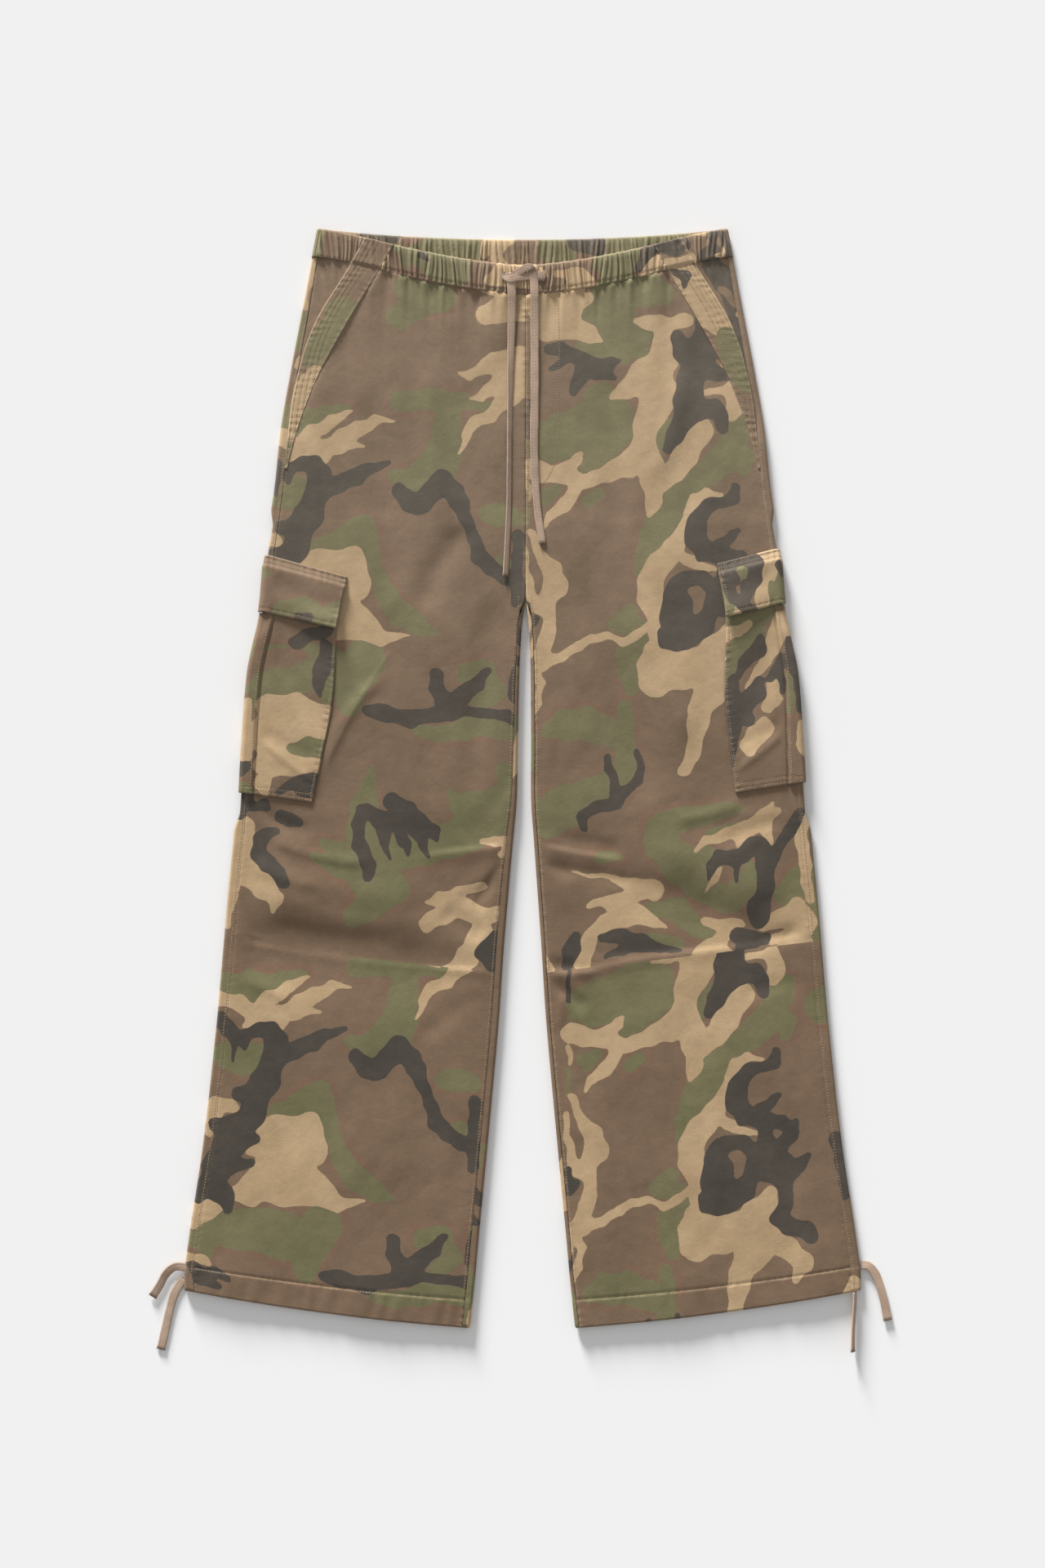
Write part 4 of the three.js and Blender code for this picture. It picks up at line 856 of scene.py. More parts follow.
def camo_material():
    """Washed printed cotton: four soft matt colours, a plain weave, and worn pale edges."""
    finish = bpy.data.materials.new("washed camouflage cotton")
    finish.use_nodes = True
    tree = finish.node_tree
    shader = tree.nodes["Principled BSDF"]
    place = add_node(tree, "ShaderNodeTexCoord").outputs["Object"]
    cloudy = noise(tree, place, 14, 4)
    mottled = noise(tree, place, 95, 4, 0.65)
    grain = noise(tree, place, 1100, 3, 0.7)
    edge = sum_of(tree, "SUBTRACT", noise(tree, place, 330, 2), 0.5)
    brown = blend_colours(
        tree, spread(tree, cloudy, 0.35, 0.65), colour(120, 99, 79), colour(127, 105, 85)
    )
    below_tuck = spread(tree, mark_of(tree, "below"), 0.02, 0.4)

    def depth_of(ink):
        above = mark_of(tree, ink)
        change = sum_of(tree, "SUBTRACT", mark_of(tree, ink + "_below"), above)
        return sum_of(tree, "ADD", above, sum_of(tree, "MULTIPLY", change, below_tuck))

    green_depth = depth_of("green")
    red_edge = spread(tree, green_depth, -7.5, -6.0)
    red_patch = sum_of(tree, "MULTIPLY", red_edge, spread(tree, noise(tree, place, 11, 1), 0.44, 0.5))
    brown = blend_colours(tree, sum_of(tree, "MULTIPLY", red_patch, 0.45), brown, colour(130, 100, 82))
    base = brown
    for ink, first, second in (
        ("green", (113, 109, 78), (121, 115, 84)),
        ("tan", (187, 160, 125), (179, 152, 117)),
        ("charcoal", (75, 69, 62), (83, 76, 68)),
    ):
        depth = sum_of(tree, "ADD", depth_of(ink), edge)
        inked = blend_colours(tree, spread(tree, cloudy, 0.35, 0.65), colour(*first), colour(*second))
        base = blend_colours(tree, spread(tree, depth, -0.35, 0.35), base, inked)
    worn = sum_of(tree, "MULTIPLY", mark_of(tree, "worn"), spread(tree, mottled, 0.3, 0.62, 0.35, 1.0))
    base = blend_colours(tree, sum_of(tree, "MULTIPLY", worn, 0.34), base, colour(178, 158, 134))
    faded = spread(tree, mottled, 0.25, 0.75, 0.94, 1.06)
    speckled = spread(tree, grain, 0.3, 0.7, 0.94, 1.06)
    # Towards the waist the cloth is mixed with a little pale grey and made up to a tenth lighter.
    height = add_node(tree, "ShaderNodeSeparateXYZ", None, None, {"Vector": place}).outputs["Y"]
    base = blend_colours(tree, spread(tree, height, -0.15, 0.4, 0.0, 0.12), base, colour(168, 156, 138))
    lighter_towards_waist = spread(tree, height, -0.1, 0.5, 1.0, 1.1)
    tone = sum_of(tree, "MULTIPLY", lighter_towards_waist, sum_of(tree, "MULTIPLY", faded, speckled))
    base = blend_colours(tree, 1.0, base, add_node(tree, "ShaderNodeCombineColor", None, None, {
        "Red": tone, "Green": tone, "Blue": tone}).outputs["Color"], "MULTIPLY")
    tree.links.new(base, shader.inputs["Base Color"])
    shader.inputs["Roughness"].default_value = 0.88
    shader.inputs["Specular IOR Level"].default_value = 0.18
    shader.inputs["Sheen Weight"].default_value = 0.08
    shader.inputs["Sheen Roughness"].default_value = 0.45
    threads = []
    for direction in ("X", "Y"):
        threads.append(add_node(
            tree,
            "ShaderNodeTexWave",
            {"bands_direction": direction},
            {"Scale": 520.0, "Distortion": 1.2, "Detail": 1.0, "Detail Scale": 0.6},
            {"Vector": place},
        ).outputs["Fac"])
    weave = sum_of(
        tree, "ADD", sum_of(tree, "MULTIPLY", threads[0], 0.35),
        sum_of(tree, "MULTIPLY", threads[1], 0.35)
    )
    rumpled = sum_of(tree, "MULTIPLY", noise(tree, place, 210, 3), 1.6)
    fine = sum_of(tree, "ADD", weave, sum_of(tree, "ADD", rumpled, grain))
    creased = sum_of(tree, "ABSOLUTE", sum_of(tree, "SUBTRACT", noise(tree, place, 17, 2, 0.5), 0.5), 0.0)
    wrinkles = sum_of(tree, "ADD", noise(tree, place, 22, 2, 0.5), creased)
    wide = add_node(
        tree, "ShaderNodeBump", None, {"Strength": 0.5, "Distance": 0.003}, {"Height": wrinkles}
    )
    bump = add_node(
        tree, "ShaderNodeBump", None, {"Strength": 0.5, "Distance": 0.0003},
        {"Height": fine, "Normal": wide.outputs["Normal"]},
    )
    tree.links.new(bump.outputs["Normal"], shader.inputs["Normal"])
    return finish


camo_finish = camo_material()


def front_panel(side):
    rows = np.concatenate([
        np.linspace(FRONT_TOP + TUCKED, 440, 24, endpoint=False),
        np.linspace(440, HEM_Y + HEM_DEPTH + 3, 392, endpoint=False),
        np.linspace(HEM_Y + HEM_DEPTH + 3, HEM_Y, 25),
    ])
    across = edge_steps(148)
    nominal = rows[:, None] + np.zeros(len(across))
    y = nominal.copy()
    for _ in range(4):
        inner = (
            along(STATIONS, INNER, y)
            + (inseam_in(side, y) + SEAM_GAP / 2) * smooth((CROTCH_Y - 14 - y) / 16)
        )
        seam = side_seam(y)
        band = along(BAND_STATIONS, BAND_FRONT, y)
        outer = np.where(y < BAND_END_Y - 1, seam, np.minimum(seam, band))
        x = mix(inner, outer + 1.2, across)
        y = row_y(x, nominal, 0, FRONT_TOP)
    drop = np.maximum(0, FRONT_TOP - nominal)
    to_seam = outer - x
    to_inner = x - inner
    gathered = pucker(side * x, drop) * smooth((to_seam + 1) / 6) * smooth((drop + 1.6) / 6)
    level = front_z(side, x, y) + gathered
    level = level + seam_pucker(y, to_seam) + seam_pucker(y + 40, to_inner, 0.3)
    level = level - 0.9 * bell(to_seam + 1.2, 1.3) - 0.5 * bell(to_inner, 1.1)
    level = level - 1.2 * smooth((nominal - FRONT_TOP) / 1.4)
    on_hem = smooth((HEM_Y + HEM_DEPTH + 0.6 - nominal) / 1.2)
    level = level + 0.4 * on_hem + seam_pucker(x, nominal - HEM_Y - HEM_DEPTH, 0.34)
    level = level - 0.5 * bell(nominal - HEM_Y - HEM_DEPTH - 1.4, 0.9)
    level = (
        level
        + 0.3 * on_hem * np.sin(x / 3.1 + 1.3 * np.sin(x / 11) + (nominal - HEM_Y) / 9) * np.sin(x / 19 + 1)
    )
    level = level - 1.5 * smooth((HEM_Y + 1.6 - nominal) / 1.6) ** 2
    place_x = world_x(side, x, y)
    top = np.stack([place_x, y, level + CLOTH / 2], axis=2)
    under = np.stack(
        [place_x, y, np.minimum(level, front_z(side, x, y)) + CLOTH / 2 - SHELL - 0.7 * on_hem], axis=2
    )
    worn = 0.9 * bell(nominal - HEM_Y, 1.6) + 0.1 * bell(nominal - HEM_Y - HEM_DEPTH, 1.2)
    worn = worn + 0.5 * smooth((y + 60) / 40) * bell(to_seam, 1.6) + 0.45 * bell(to_inner - 1.4, 1.3)
    marks = leg_print(side, place_x, y)
    marks["worn"] = worn
    name = SIDE_NAME[side]
    piece = cloth(f"front_leg_{name}_cloth", top, under, marks)
    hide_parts(f"front_leg_{name}")


for side in (-1, 1):
    front_panel(side)

# The back panels: the same cotton. Each shows as a narrow strip along the side of the front, turns
# round the side fold, lies flat just over the table, and comes up again inside the leg to the
# inseam. The gap under it, 0.3 mm, keeps its stitches clear of the table.
BACK_MID = 1.1
FACING_MID = 3.9
POCKET_LIFT = 2.3
POCKET_REACH = 5.9
POCKET_WIDTH = 168
# height at the outline, inner edge and slope of the rows of each cargo pocket and its flap
POCKET_INNER, POCKET_SLOPE = 1, 2
POCKET_ROWS = {
    -1: np.array([(215, 169.5, 0.28), (160, 179.5, 0.23), (92, 184, 0.22), (-14, 203, 0.14)]),
    1: np.array([(221, 186.5, 0.25), (168, 195, 0.24), (92, 194, 0.2), (-4, 205, 0.16)]),
}


def repeated(chart, step, first=330, last=1022):
    """The same chart with its repeats above and below, for pieces cut from elsewhere in the cloth."""
    whole = []
    for ink, strokes in chart:
        kept = [s for s in strokes if first <= np.mean([p[1] for p in s]) < last + 10]
        moved = [
            tuple((x + n * step[0], down + n * step[1], r) for x, down, r in s)
            for n in (-1, 1) for s in kept
            if np.mean([p[1] for p in s]) * n < (400 if n > 0 else -950)
        ]
        whole.append((ink, tuple(kept + moved)))
    return tuple(whole)


BACK_PRINT = {-1: repeated(RIGHT_LEG_PRINT, TUCKS[-1][2]), 1: repeated(LEFT_LEG_PRINT, TUCKS[1][2])}


def back_print(side, place_x, y, shift=(0, 0)):
    """The print of a piece without a tuck, where the repeats follow one another."""
    step = TUCKS[side][2]
    across = PHOTO_MIDDLE[0] + place_x / PHOTO_PIXEL + shift[0]
    down = PHOTO_MIDDLE[1] - y / PHOTO_PIXEL + shift[1]
    turns = np.floor((down - 335) / step[1])
    return print_marks(BACK_PRINT[side], across - turns * step[0], down - turns * step[1])


def pocket_back_inner(side, y):
    """Where a cargo pocket ends on the underside."""
    table = POCKET_ROWS[side]
    edge = np.clip(y, table[-1, 0], table[0, 0])
    shown = along(STATIONS, OUTLINE, edge) - along(table, POCKET_INNER, edge)
    return along(STATIONS, OUTLINE, edge) - POCKET_REACH - (POCKET_WIDTH - shown)


def shell_at(side, x, y, z, facing, distance):
    """The middle of the cloth, moved out along the way it faces."""
    return np.stack(
        [world_x(side, x + np.cos(facing) * distance, y), y, z + np.sin(facing) * distance], axis=2
    )


def back_panel(side):
    nominal = np.concatenate([
        np.linspace(BACK_TOP + TUCKED, BACK_TOP - 8, 5, endpoint=False),
        np.linspace(BACK_TOP - 8, HEM_Y + HEM_DEPTH + 3, 301, endpoint=False),
        np.linspace(HEM_Y + HEM_DEPTH + 3, HEM_Y, 15),
    ])
    lift = pocket_mask(nominal)
    outline = along(STATIONS, OUTLINE, nominal)
    edge_y = row_y(outline, nominal, 0.5, BACK_TOP)
    edge_x = along(STATIONS, OUTLINE, edge_y)

    def strip_z(x, y):
        return mix(front_z(side, x, y), FACING_MID, smooth((y - 318) / 45))

    bottom = BACK_MID + POCKET_LIFT * lift
    top = strip_z(edge_x, edge_y)
    radius = (top - bottom) / 2
    centre = edge_x - mix(radius + CLOTH / 2, POCKET_REACH + 0.8, lift)
    seam = side_seam(edge_y) - 0.6
    columns = []

    def place(x, z, facing, frontness):
        ones = np.ones(len(nominal))
        columns.append((x * ones, z * ones, facing * ones, frontness * ones))

    for share in (0, 0.1, 0.22, 0.36, 0.52, 0.68, 0.84):
        x = mix(seam, centre, share)
        place(x, strip_z(x, edge_y), np.pi / 2, 1.0)
    for share in np.linspace(0, 1, 15):
        facing = np.pi / 2 - np.pi * share
        place(
            centre + radius * np.cos(facing), (top + bottom) / 2 + radius * np.sin(facing), facing,
            1 - share
        )
    ramp_top = pocket_back_inner(side, nominal) - 3
    inner_radius = (FRONT_MID + 0.5 * lift - BACK_MID) / 2
    arc = np.pi * inner_radius
    strip = inseam_in(side, nominal) - CLOTH / 2 - inner_radius - SEAM_GAP / 2
    whole = arc + strip
    rolled = whole * np.clip((CROTCH_Y - nominal) / 35, 0, 1)
    turned = np.minimum(rolled / inner_radius, np.pi)
    start = (
        along(STATIONS, INNER, nominal)
        + (CLOTH / 2 + inner_radius) * np.sin(np.minimum(turned, np.pi / 2))
    )
    flat_end = start + whole - rolled
    for share in np.linspace(0, 1, 67)[1:-1]:
        x = mix(centre, flat_end, share)
        place(x, BACK_MID + POCKET_LIFT * lift * smooth((x - ramp_top + 20) / 20), -np.pi / 2, 0.0)
    for share in np.linspace(0, 1, 26):
        run = whole * share
        angle = np.minimum(np.maximum(run - (whole - rolled), 0) / inner_radius, np.pi)
        beyond = np.maximum(run - (whole - rolled) - arc, 0)
        x = start + np.maximum(whole - rolled - run, 0) - inner_radius * np.sin(angle) + beyond
        place(x, BACK_MID + inner_radius * (1 - np.cos(angle)), -np.pi / 2 - angle, angle / np.pi)
    x, z, facing, frontness = (np.stack(part, axis=1) for part in zip(*columns))
    nominal = nominal[:, None] + np.zeros_like(x)
    slack = 1.4 * smooth(3 * frontness)
    y = row_y(np.maximum(x, 0), nominal, 1 - frontness, BACK_TOP, slack)
    count = x.shape[1]
    at_side = np.arange(count)[None, :] < 22
    to_seam = np.abs(x - side_seam(y)) + 60 * ~at_side
    seam_edge = 0.35 * bell(x - side_seam(y), 2.2) - 0.9 * bell(x - seam[:, None], 0.5)
    sewn = mix(0.3, 1, smooth((y + 60) / 40))
    seam_edge = seam_edge * smooth((320 - y) / 20) * sewn - 0.35 * (1 - sewn)
    z = z + at_side * (seam_edge + seam_pucker(y + 9, to_seam, 0.2)) * smooth(4 * frontness - 3)
    z = z + ~at_side * seam_pucker(y - 30, 2 + 0 * y, 0.3) * smooth(5 * frontness - 4)
    on_hem = smooth((HEM_Y + HEM_DEPTH + 0.6 - nominal) / 1.2)
    out = (
        CLOTH / 2 + 0.5 * on_hem * frontness
        - 1.4 * frontness * smooth((HEM_Y + 1.6 - nominal) / 1.6) ** 2
    )
    depth = SHELL - CLOTH / 2 + 0.4 * on_hem

    run = np.hypot(np.diff(x, axis=1), np.diff(z, axis=1)).cumsum(axis=1)
    around = np.concatenate([np.zeros((len(x), 1)), run], axis=1) - run[:, 5:6]
    turned_under = np.maximum(around - 20, 0)
    shown = leg_print(side, world_x(side, x, y), y)
    hidden = back_print(side, world_x(side, x, y), y - 0.25 * turned_under)
    on_front = at_side & (frontness > 0.5)
    marks = {mark: np.where(on_front, values, hidden.get(mark, -50)) for mark, values in shown.items()}
    worn = 0.8 * bell(nominal - HEM_Y, 1.6) + 0.6 * sewn * bell(to_seam - 1, 1.4)
    marks["worn"] = worn + 0.3 * at_side * bell(frontness - 0.6, 0.2)
    name = SIDE_NAME[side]
    piece = cloth(
        f"back_leg_{name}_cloth", shell_at(side, x, y, z, facing, out),
        shell_at(side, x, y, z, facing, -depth), marks
    )
    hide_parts(f"back_leg_{name}")


for side in (-1, 1):
    back_panel(side)

# The waist casing: a band of the same cotton over a broad elastic, so that it lies in sharp
# uneven gathers. The front part ends at the pocket bands, the back part wraps round both sides.
CASING_WALL = 2.2
CASING_FRONT_Z = 3.8
CASING_PRINT = (
    ("brown", (((400, 290, 30), (500, 330, 30)),)),
    ("green", (
        ((392, 285, 6), (390, 318, 5)), ((486, 305, 5), (500, 312, 10), (498, 340, 3)),
        ((512, 318, 10), (540, 325, 22)),
        ((540, 325, 22), (558, 332, 20)), ((722, 318, 5), (745, 325, 16), (775, 318, 14)),
        ((737, 345, 6), (790, 340, 5)),
    )),
    ("tan", (
        ((600, 344, 8), (615, 337, 12), (640, 338, 16), (660, 343, 14)),
        ((685, 336, 6), (712, 341, 11), (728, 352, 6)), ((700, 356, 8), (715, 356, 6)),
        ((790, 335, 6), (800, 325, 8), (808, 322, 8)), ((824, 328, 7), (845, 318, 8)),
        ((466, 326, 3), (478, 304, 3)),
        ((878, 312, 7), (886, 305, 4)), ((840, 284, 4), (862, 286, 4)),
    )),
    ("brown", (((668, 347, 8), (688, 348, 7)), ((655, 321, 5), (722, 320, 6)),
        ((500, 335, 5), (506, 328, 4)))),
    ("charcoal", (
        ((518, 312, 6), (524, 318, 2)), ((783, 327, 5), (790, 312, 8), (805, 300, 10), (830, 296, 10),
            (838, 302, 8)), ((818, 310, 8), (820, 318, 5)),
        ((872, 290, 6), (878, 282, 5)), ((862, 312, 5), (874, 304, 7)), ((858, 318, 4), (888, 322, 5)),
        ((886, 290, 4), (892, 312, 4)),
    )),
)
BACK_CASING_PRINT = (
    ("green", (((508, 305, 8), (540, 308, 24), (575, 308, 20)), ((660, 306, 12), (690, 306, 20)),
        ((745, 303, 10), (780, 300, 18), (830, 292, 18)))),
    ("tan", (((594, 312, 6), (604, 300, 12), (616, 296, 14)), ((612, 318, 10), (622, 326, 4)))),
    ("brown", (((630, 312, 12), (645, 306, 14)), ((494, 292, 7), (505, 290, 4)))),
    ("charcoal", (((446, 288, 6), (482, 292, 8)), ((706, 300, 8), (730, 300, 12)),
        ((708, 294, 12), (735, 305, 8)))),
)


def casing_print(chart, place_x, y):
    return print_marks(chart, PHOTO_MIDDLE[0] + place_x / PHOTO_PIXEL, PHOTO_MIDDLE[1] - y / PHOTO_PIXEL)


def gathers(x, up):
    """Height of the gathers over the casing, from 0 to about 1, at a place along it and up it."""
    turn = gather_turn(x + 1.7 * np.sin(up * 2.1 + x / 9))
    hill = np.abs(np.sin(np.pi * turn)) ** 0.75
    uneven = 0.66 + 0.34 * np.sin(turn * 2.4 + 1.3 + 0.8 * up)
    split = 0.2 * np.sin(np.pi * turn * 3 + 1.7 + up) * np.sin(turn * 1.3)
    ends = smooth(up / 0.12) * 0.35 + 0.65
    top = 0.55 + 0.45 * smooth((1 - up) / 0.22)
    return np.maximum(0, hill * uneven + split) * ends * top


def front_casing():
    up = np.linspace(0, 1, 25)[:, None]
    across = np.linspace(-1, 1, 633)[None, :]
    x = np.zeros((25, 633))
    y = WAIST_FRONT_Y + 0 * x
    for _ in range(5):
        x = np.abs(across) * (along(BAND_STATIONS, BAND_FRONT, y) + 0.8)
        y = waist_line(x, 0) - FRONT_CASING * (1 - up)
    y = y - 0.9 * (1 - up) ** 8
    side = np.sign(across) + (across == 0)
    place_x = np.where(side < 0, world_x(-1, x, y), world_x(1, x, y))
    rise = 2.7 * gathers(side * x, up) + 0.35 * np.sin(side * x / 17 + up)
    low_edge = -0.5 * bell(up, 0.03) - 0.8 * bell(up - 0.11, 0.035)
    top_edge = -1.6 * smooth((up - 0.93) / 0.07) ** 2
    end_dip = -0.8 * smooth((np.abs(across) - 0.985) / 0.015)
    z = CASING_FRONT_Z + CASING_WALL + 0.7 + rise + low_edge + top_edge + end_dip
    y_top = y + 0.5 * gathers(side * x, 0.5 + 0 * up) * smooth((up - 0.8) / 0.2)
    top = np.stack([place_x, y_top, z], axis=2)
    under = np.stack([place_x, y, CASING_FRONT_Z - 0.2 + 0 * x], axis=2)
    marks = casing_print(CASING_PRINT, place_x, y)
    ridge = smooth((gathers(side * x, up) - 0.6) / 0.25)
    marks["worn"] = 0.8 * ridge * smooth((up - 0.05) / 0.3) + 0.85 * smooth((up - 0.94) / 0.05)
    piece = cloth("waist_casing_front_cloth", top, under, marks)
    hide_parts("waist_casing_front")


front_casing()


def back_casing():
    up = np.linspace(0, 1, 25)
    wall = CASING_WALL / 2
    low, high = wall + 0.45, CASING_FRONT_Z + wall
    radius = (high - low) / 2

    def line_y(x, k):
        return waist_line(x, k) - mix(FRONT_CASING, BACK_CASING, k) * (1 - up)

    fold_y = line_y(WAIST_HALF, 0.5)
    centre = along(STATIONS, OUTLINE, fold_y) - radius - CASING_WALL / 2
    mouth = np.zeros(25)
    for _ in range(5):
        mouth = along(BAND_STATIONS, BAND_MOUTH, line_y(mouth, 0)) - 0.8
    columns = []
    for share in np.linspace(0, 1, 60, endpoint=False):
        x = mix(mouth, centre, share)
        bump = 2.3 * gathers(x + 3, up) * smooth((1 - share) / 0.06) * smooth((share + 0.02) / 0.05)
        edge = -0.8 * (share < 0.01)
        columns.append((x, line_y(x, 0), high + 0 * x, np.pi / 2, wall - 0.3 + bump + edge, wall))
    for share in np.linspace(0, 1, 17):
        facing = np.pi / 2 - np.pi * share
        x = centre + radius * np.cos(facing)
        z = (low + high) / 2 + radius * np.sin(facing)
        columns.append(
            (x, line_y(x, share), z + 0 * x, facing, wall + 0.25 * np.sin(share * 19) + 0 * x, wall)
        )
    for share in np.linspace(0, 1, 224)[1:]:
        x = centre * (1 - share)
        bump = gathers(x - 2, up) * np.where(up < 0.25, 0.3 + 0.7 * smooth(up / 0.25), 1)
        columns.append(
            (x, line_y(x, 1), low + 0 * x, -np.pi / 2, wall + 0.3 * bump, wall - 0.3 + 2.6 * bump)
        )
    count = len(columns)
    x = np.stack([c[0] for c in columns], axis=1)
    y = np.stack([c[1] for c in columns], axis=1)
    z = np.stack([c[2] for c in columns], axis=1)
    facing = np.array([c[3] for c in columns])[None, :] + 0 * x
    out = np.stack([c[4] + 0 * up for c in columns], axis=1)
    inward = np.stack([c[5] + 0 * up for c in columns], axis=1)
    rounded = 0.8 * smooth((up[:, None] - 0.93) / 0.07) ** 2
    sides = []
    for side in (-1, 1):
        sides.append([shell_at(side, x, y, z, facing, far) for far in (out - rounded, -inward + rounded)])
    outer = np.concatenate([sides[0][0], sides[1][0][:, ::-1][:, 1:]], axis=1)
    inner = np.concatenate([sides[0][1], sides[1][1][:, ::-1][:, 1:]], axis=1)
    shown_front = np.concatenate([np.arange(count) < 68, (np.arange(count) < 68)[::-1][1:]])[None, :]
    from_front = casing_print(CASING_PRINT, outer[:, :, 0], outer[:, :, 1])
    from_behind = casing_print(BACK_CASING_PRINT, outer[:, :, 0], outer[:, :, 1])
    marks = {ink: np.where(shown_front, from_front[ink], from_behind[ink]) for ink in INKS}
    high_part = smooth((up[:, None] - 0.94) / 0.05)
    ridges = smooth((np.abs(outer[:, :, 2] - inner[:, :, 2]) - CASING_WALL - 0.8) / 0.8)
    marks["worn"] = 0.7 * ridges + 0.8 * high_part
    piece = cloth("waist_casing_back_cloth", outer, inner, marks, coarse=1)
    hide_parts("waist_casing_back")


back_casing()

# The slanted bands of the hand pockets: folded strips of the same cotton, stitched down in close
# rows that pucker them, over a hip facing that shows between the pocket's mouth and the side seam.
FACING_END_Y = 372
BAND_PRINT = {
    -1: (
        ("green", (((420, 385, 20), (405, 410, 20), (392, 432, 20), (384, 440, 12)),)),
        ("tan", (((384, 462, 13), (375, 480, 16), (366, 500, 16), (358, 525, 16)),)),
        ("green", (((352, 548, 8), (346, 570, 8)),)),
    ),
    1: (
        ("tan", (((835, 335, 14), (850, 355, 20), (868, 380, 20), (886, 400, 14)),
            ((818, 328, 9), (842, 320, 8)))),
        ("charcoal", (((808, 300, 11), (824, 304, 11), (834, 306, 5)),)),
        ("charcoal", (((822, 334, 3), (838, 338, 7), (838, 352, 3)),)),
        ("green", (((892, 418, 16), (904, 440, 18), (914, 465, 16)), ((934, 545, 5), (938, 580, 4)))),
        ("tan", (((940, 590, 4), (942, 610, 4)),)),
    ),
}
FACING_PRINT = {
    -1: (("green", (((372, 470, 8), (366, 500, 8)),)),),
    1: (
        ("charcoal", (((870, 325, 12), (890, 345, 16), (905, 390, 12), (918, 440, 12)),)),
        ("brown", (((885, 355, 6), (898, 372, 5)),)),
        ("tan", (((904, 384, 5), (915, 378, 6)),)),
    ),
}


def pocket_band(side):
    steps = np.linspace(0, 1, 205)[:, None]
    across = edge_steps(30, (0.3, 0.4, 0.6))[None, :]
    x = np.zeros((205, 31))
    y = WAIST_FRONT_Y + 0 * x
    for _ in range(6):
        front = along(BAND_STATIONS, BAND_FRONT, y) - 0.5
        mouth = along(BAND_STATIONS, BAND_MOUTH, y) + 0.3
        x = mix(front, mouth, across)
        y = mix(waist_line(x, 0), BAND_END_Y, steps)
    run = 236 * steps + 0 * x
    to_front, to_mouth = x - front, mouth - x
    rows = sum(seam_pucker(run + 7 * n, 1.8 * (to_mouth - 2.5 - 5 * n), 0.3 - 0.06 * n) for n in range(4))
    channels = sum(0.35 * bell(to_mouth - 2.5 - 5 * n, 0.7) for n in range(4))
    z = FRONT_MID + CLOTH / 2 + 0.45 + rows - channels
    z = z + seam_pucker(run, to_front - 1.5, 0.2)
    z = z + 0.3 * bell(to_front - 1.0, 0.8) - 1.0 * bell(to_front, 0.4) - 1.2 * bell(to_mouth, 0.6)
    in_casing = smooth((29 - run) / 3)
    z = z + in_casing * (0.9 + 0.8 * gathers(x * 0.8, 0.5 + 0 * x)) - 0.5 * bell(run - 29.5, 1.4)
    place_x = world_x(side, x, y)
    top = np.stack([place_x, y, z], axis=2)
    under = np.stack([place_x, y, z * 0 + FRONT_MID - CLOTH / 2], axis=2)
    marks = casing_print(BAND_PRINT[side], place_x, y)
    ridge = bell(to_front - 1.0, 0.8) + bell(to_mouth - 1.0, 0.8)
    marks["worn"] = 1.0 * ridge + 0.5 * smooth(rows / 0.2) + 0.7 * smooth((2.5 - run) / 2)
    name = SIDE_NAME[side]
    piece = cloth(f"pocket_band_{name}_cloth", top, under, marks, coarse=2)
    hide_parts(f"pocket_band_{name}")


def pocket_facing(side):
    steps = np.linspace(0, 1, 81)[:, None]
    across = np.linspace(0, 1, 29)[None, :]
    x = np.zeros((81, 29))
    y = WAIST_FRONT_Y + 0 * x
    for _ in range(6):
        tucked = along(BAND_STATIONS, BAND_MOUTH, y) - 12
        x = mix(tucked, side_seam(y) + 0.5, across)
        y = mix(waist_line(x, 0) - FRONT_CASING + 1.5, FACING_END_Y, steps)
    drop = 128 * steps + 0 * x
    level = FACING_MID + CLOTH / 2 - 0.1 + 0.8 * pucker(x + 40, drop) - 0.8 * bell(x - side_seam(y), 1.4)
    level = level + 0.3 * np.sin(x / 6 + drop / 30) - 0.5 * smooth((2 - drop) / 2)
    place_x = world_x(side, x, y)
    top = np.stack([place_x, y, level], axis=2)
    under = np.stack([place_x, y, 0 * x + FACING_MID - CLOTH / 2], axis=2)
    marks = casing_print(FACING_PRINT[side], place_x, y)
    marks["worn"] = 0.15 + 0 * x
    name = SIDE_NAME[side]
    piece = cloth(f"pocket_facing_{name}_cloth", top, under, marks)
    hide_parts(f"pocket_facing_{name}")


for side in (-1, 1):
    pocket_band(side)
    pocket_facing(side)

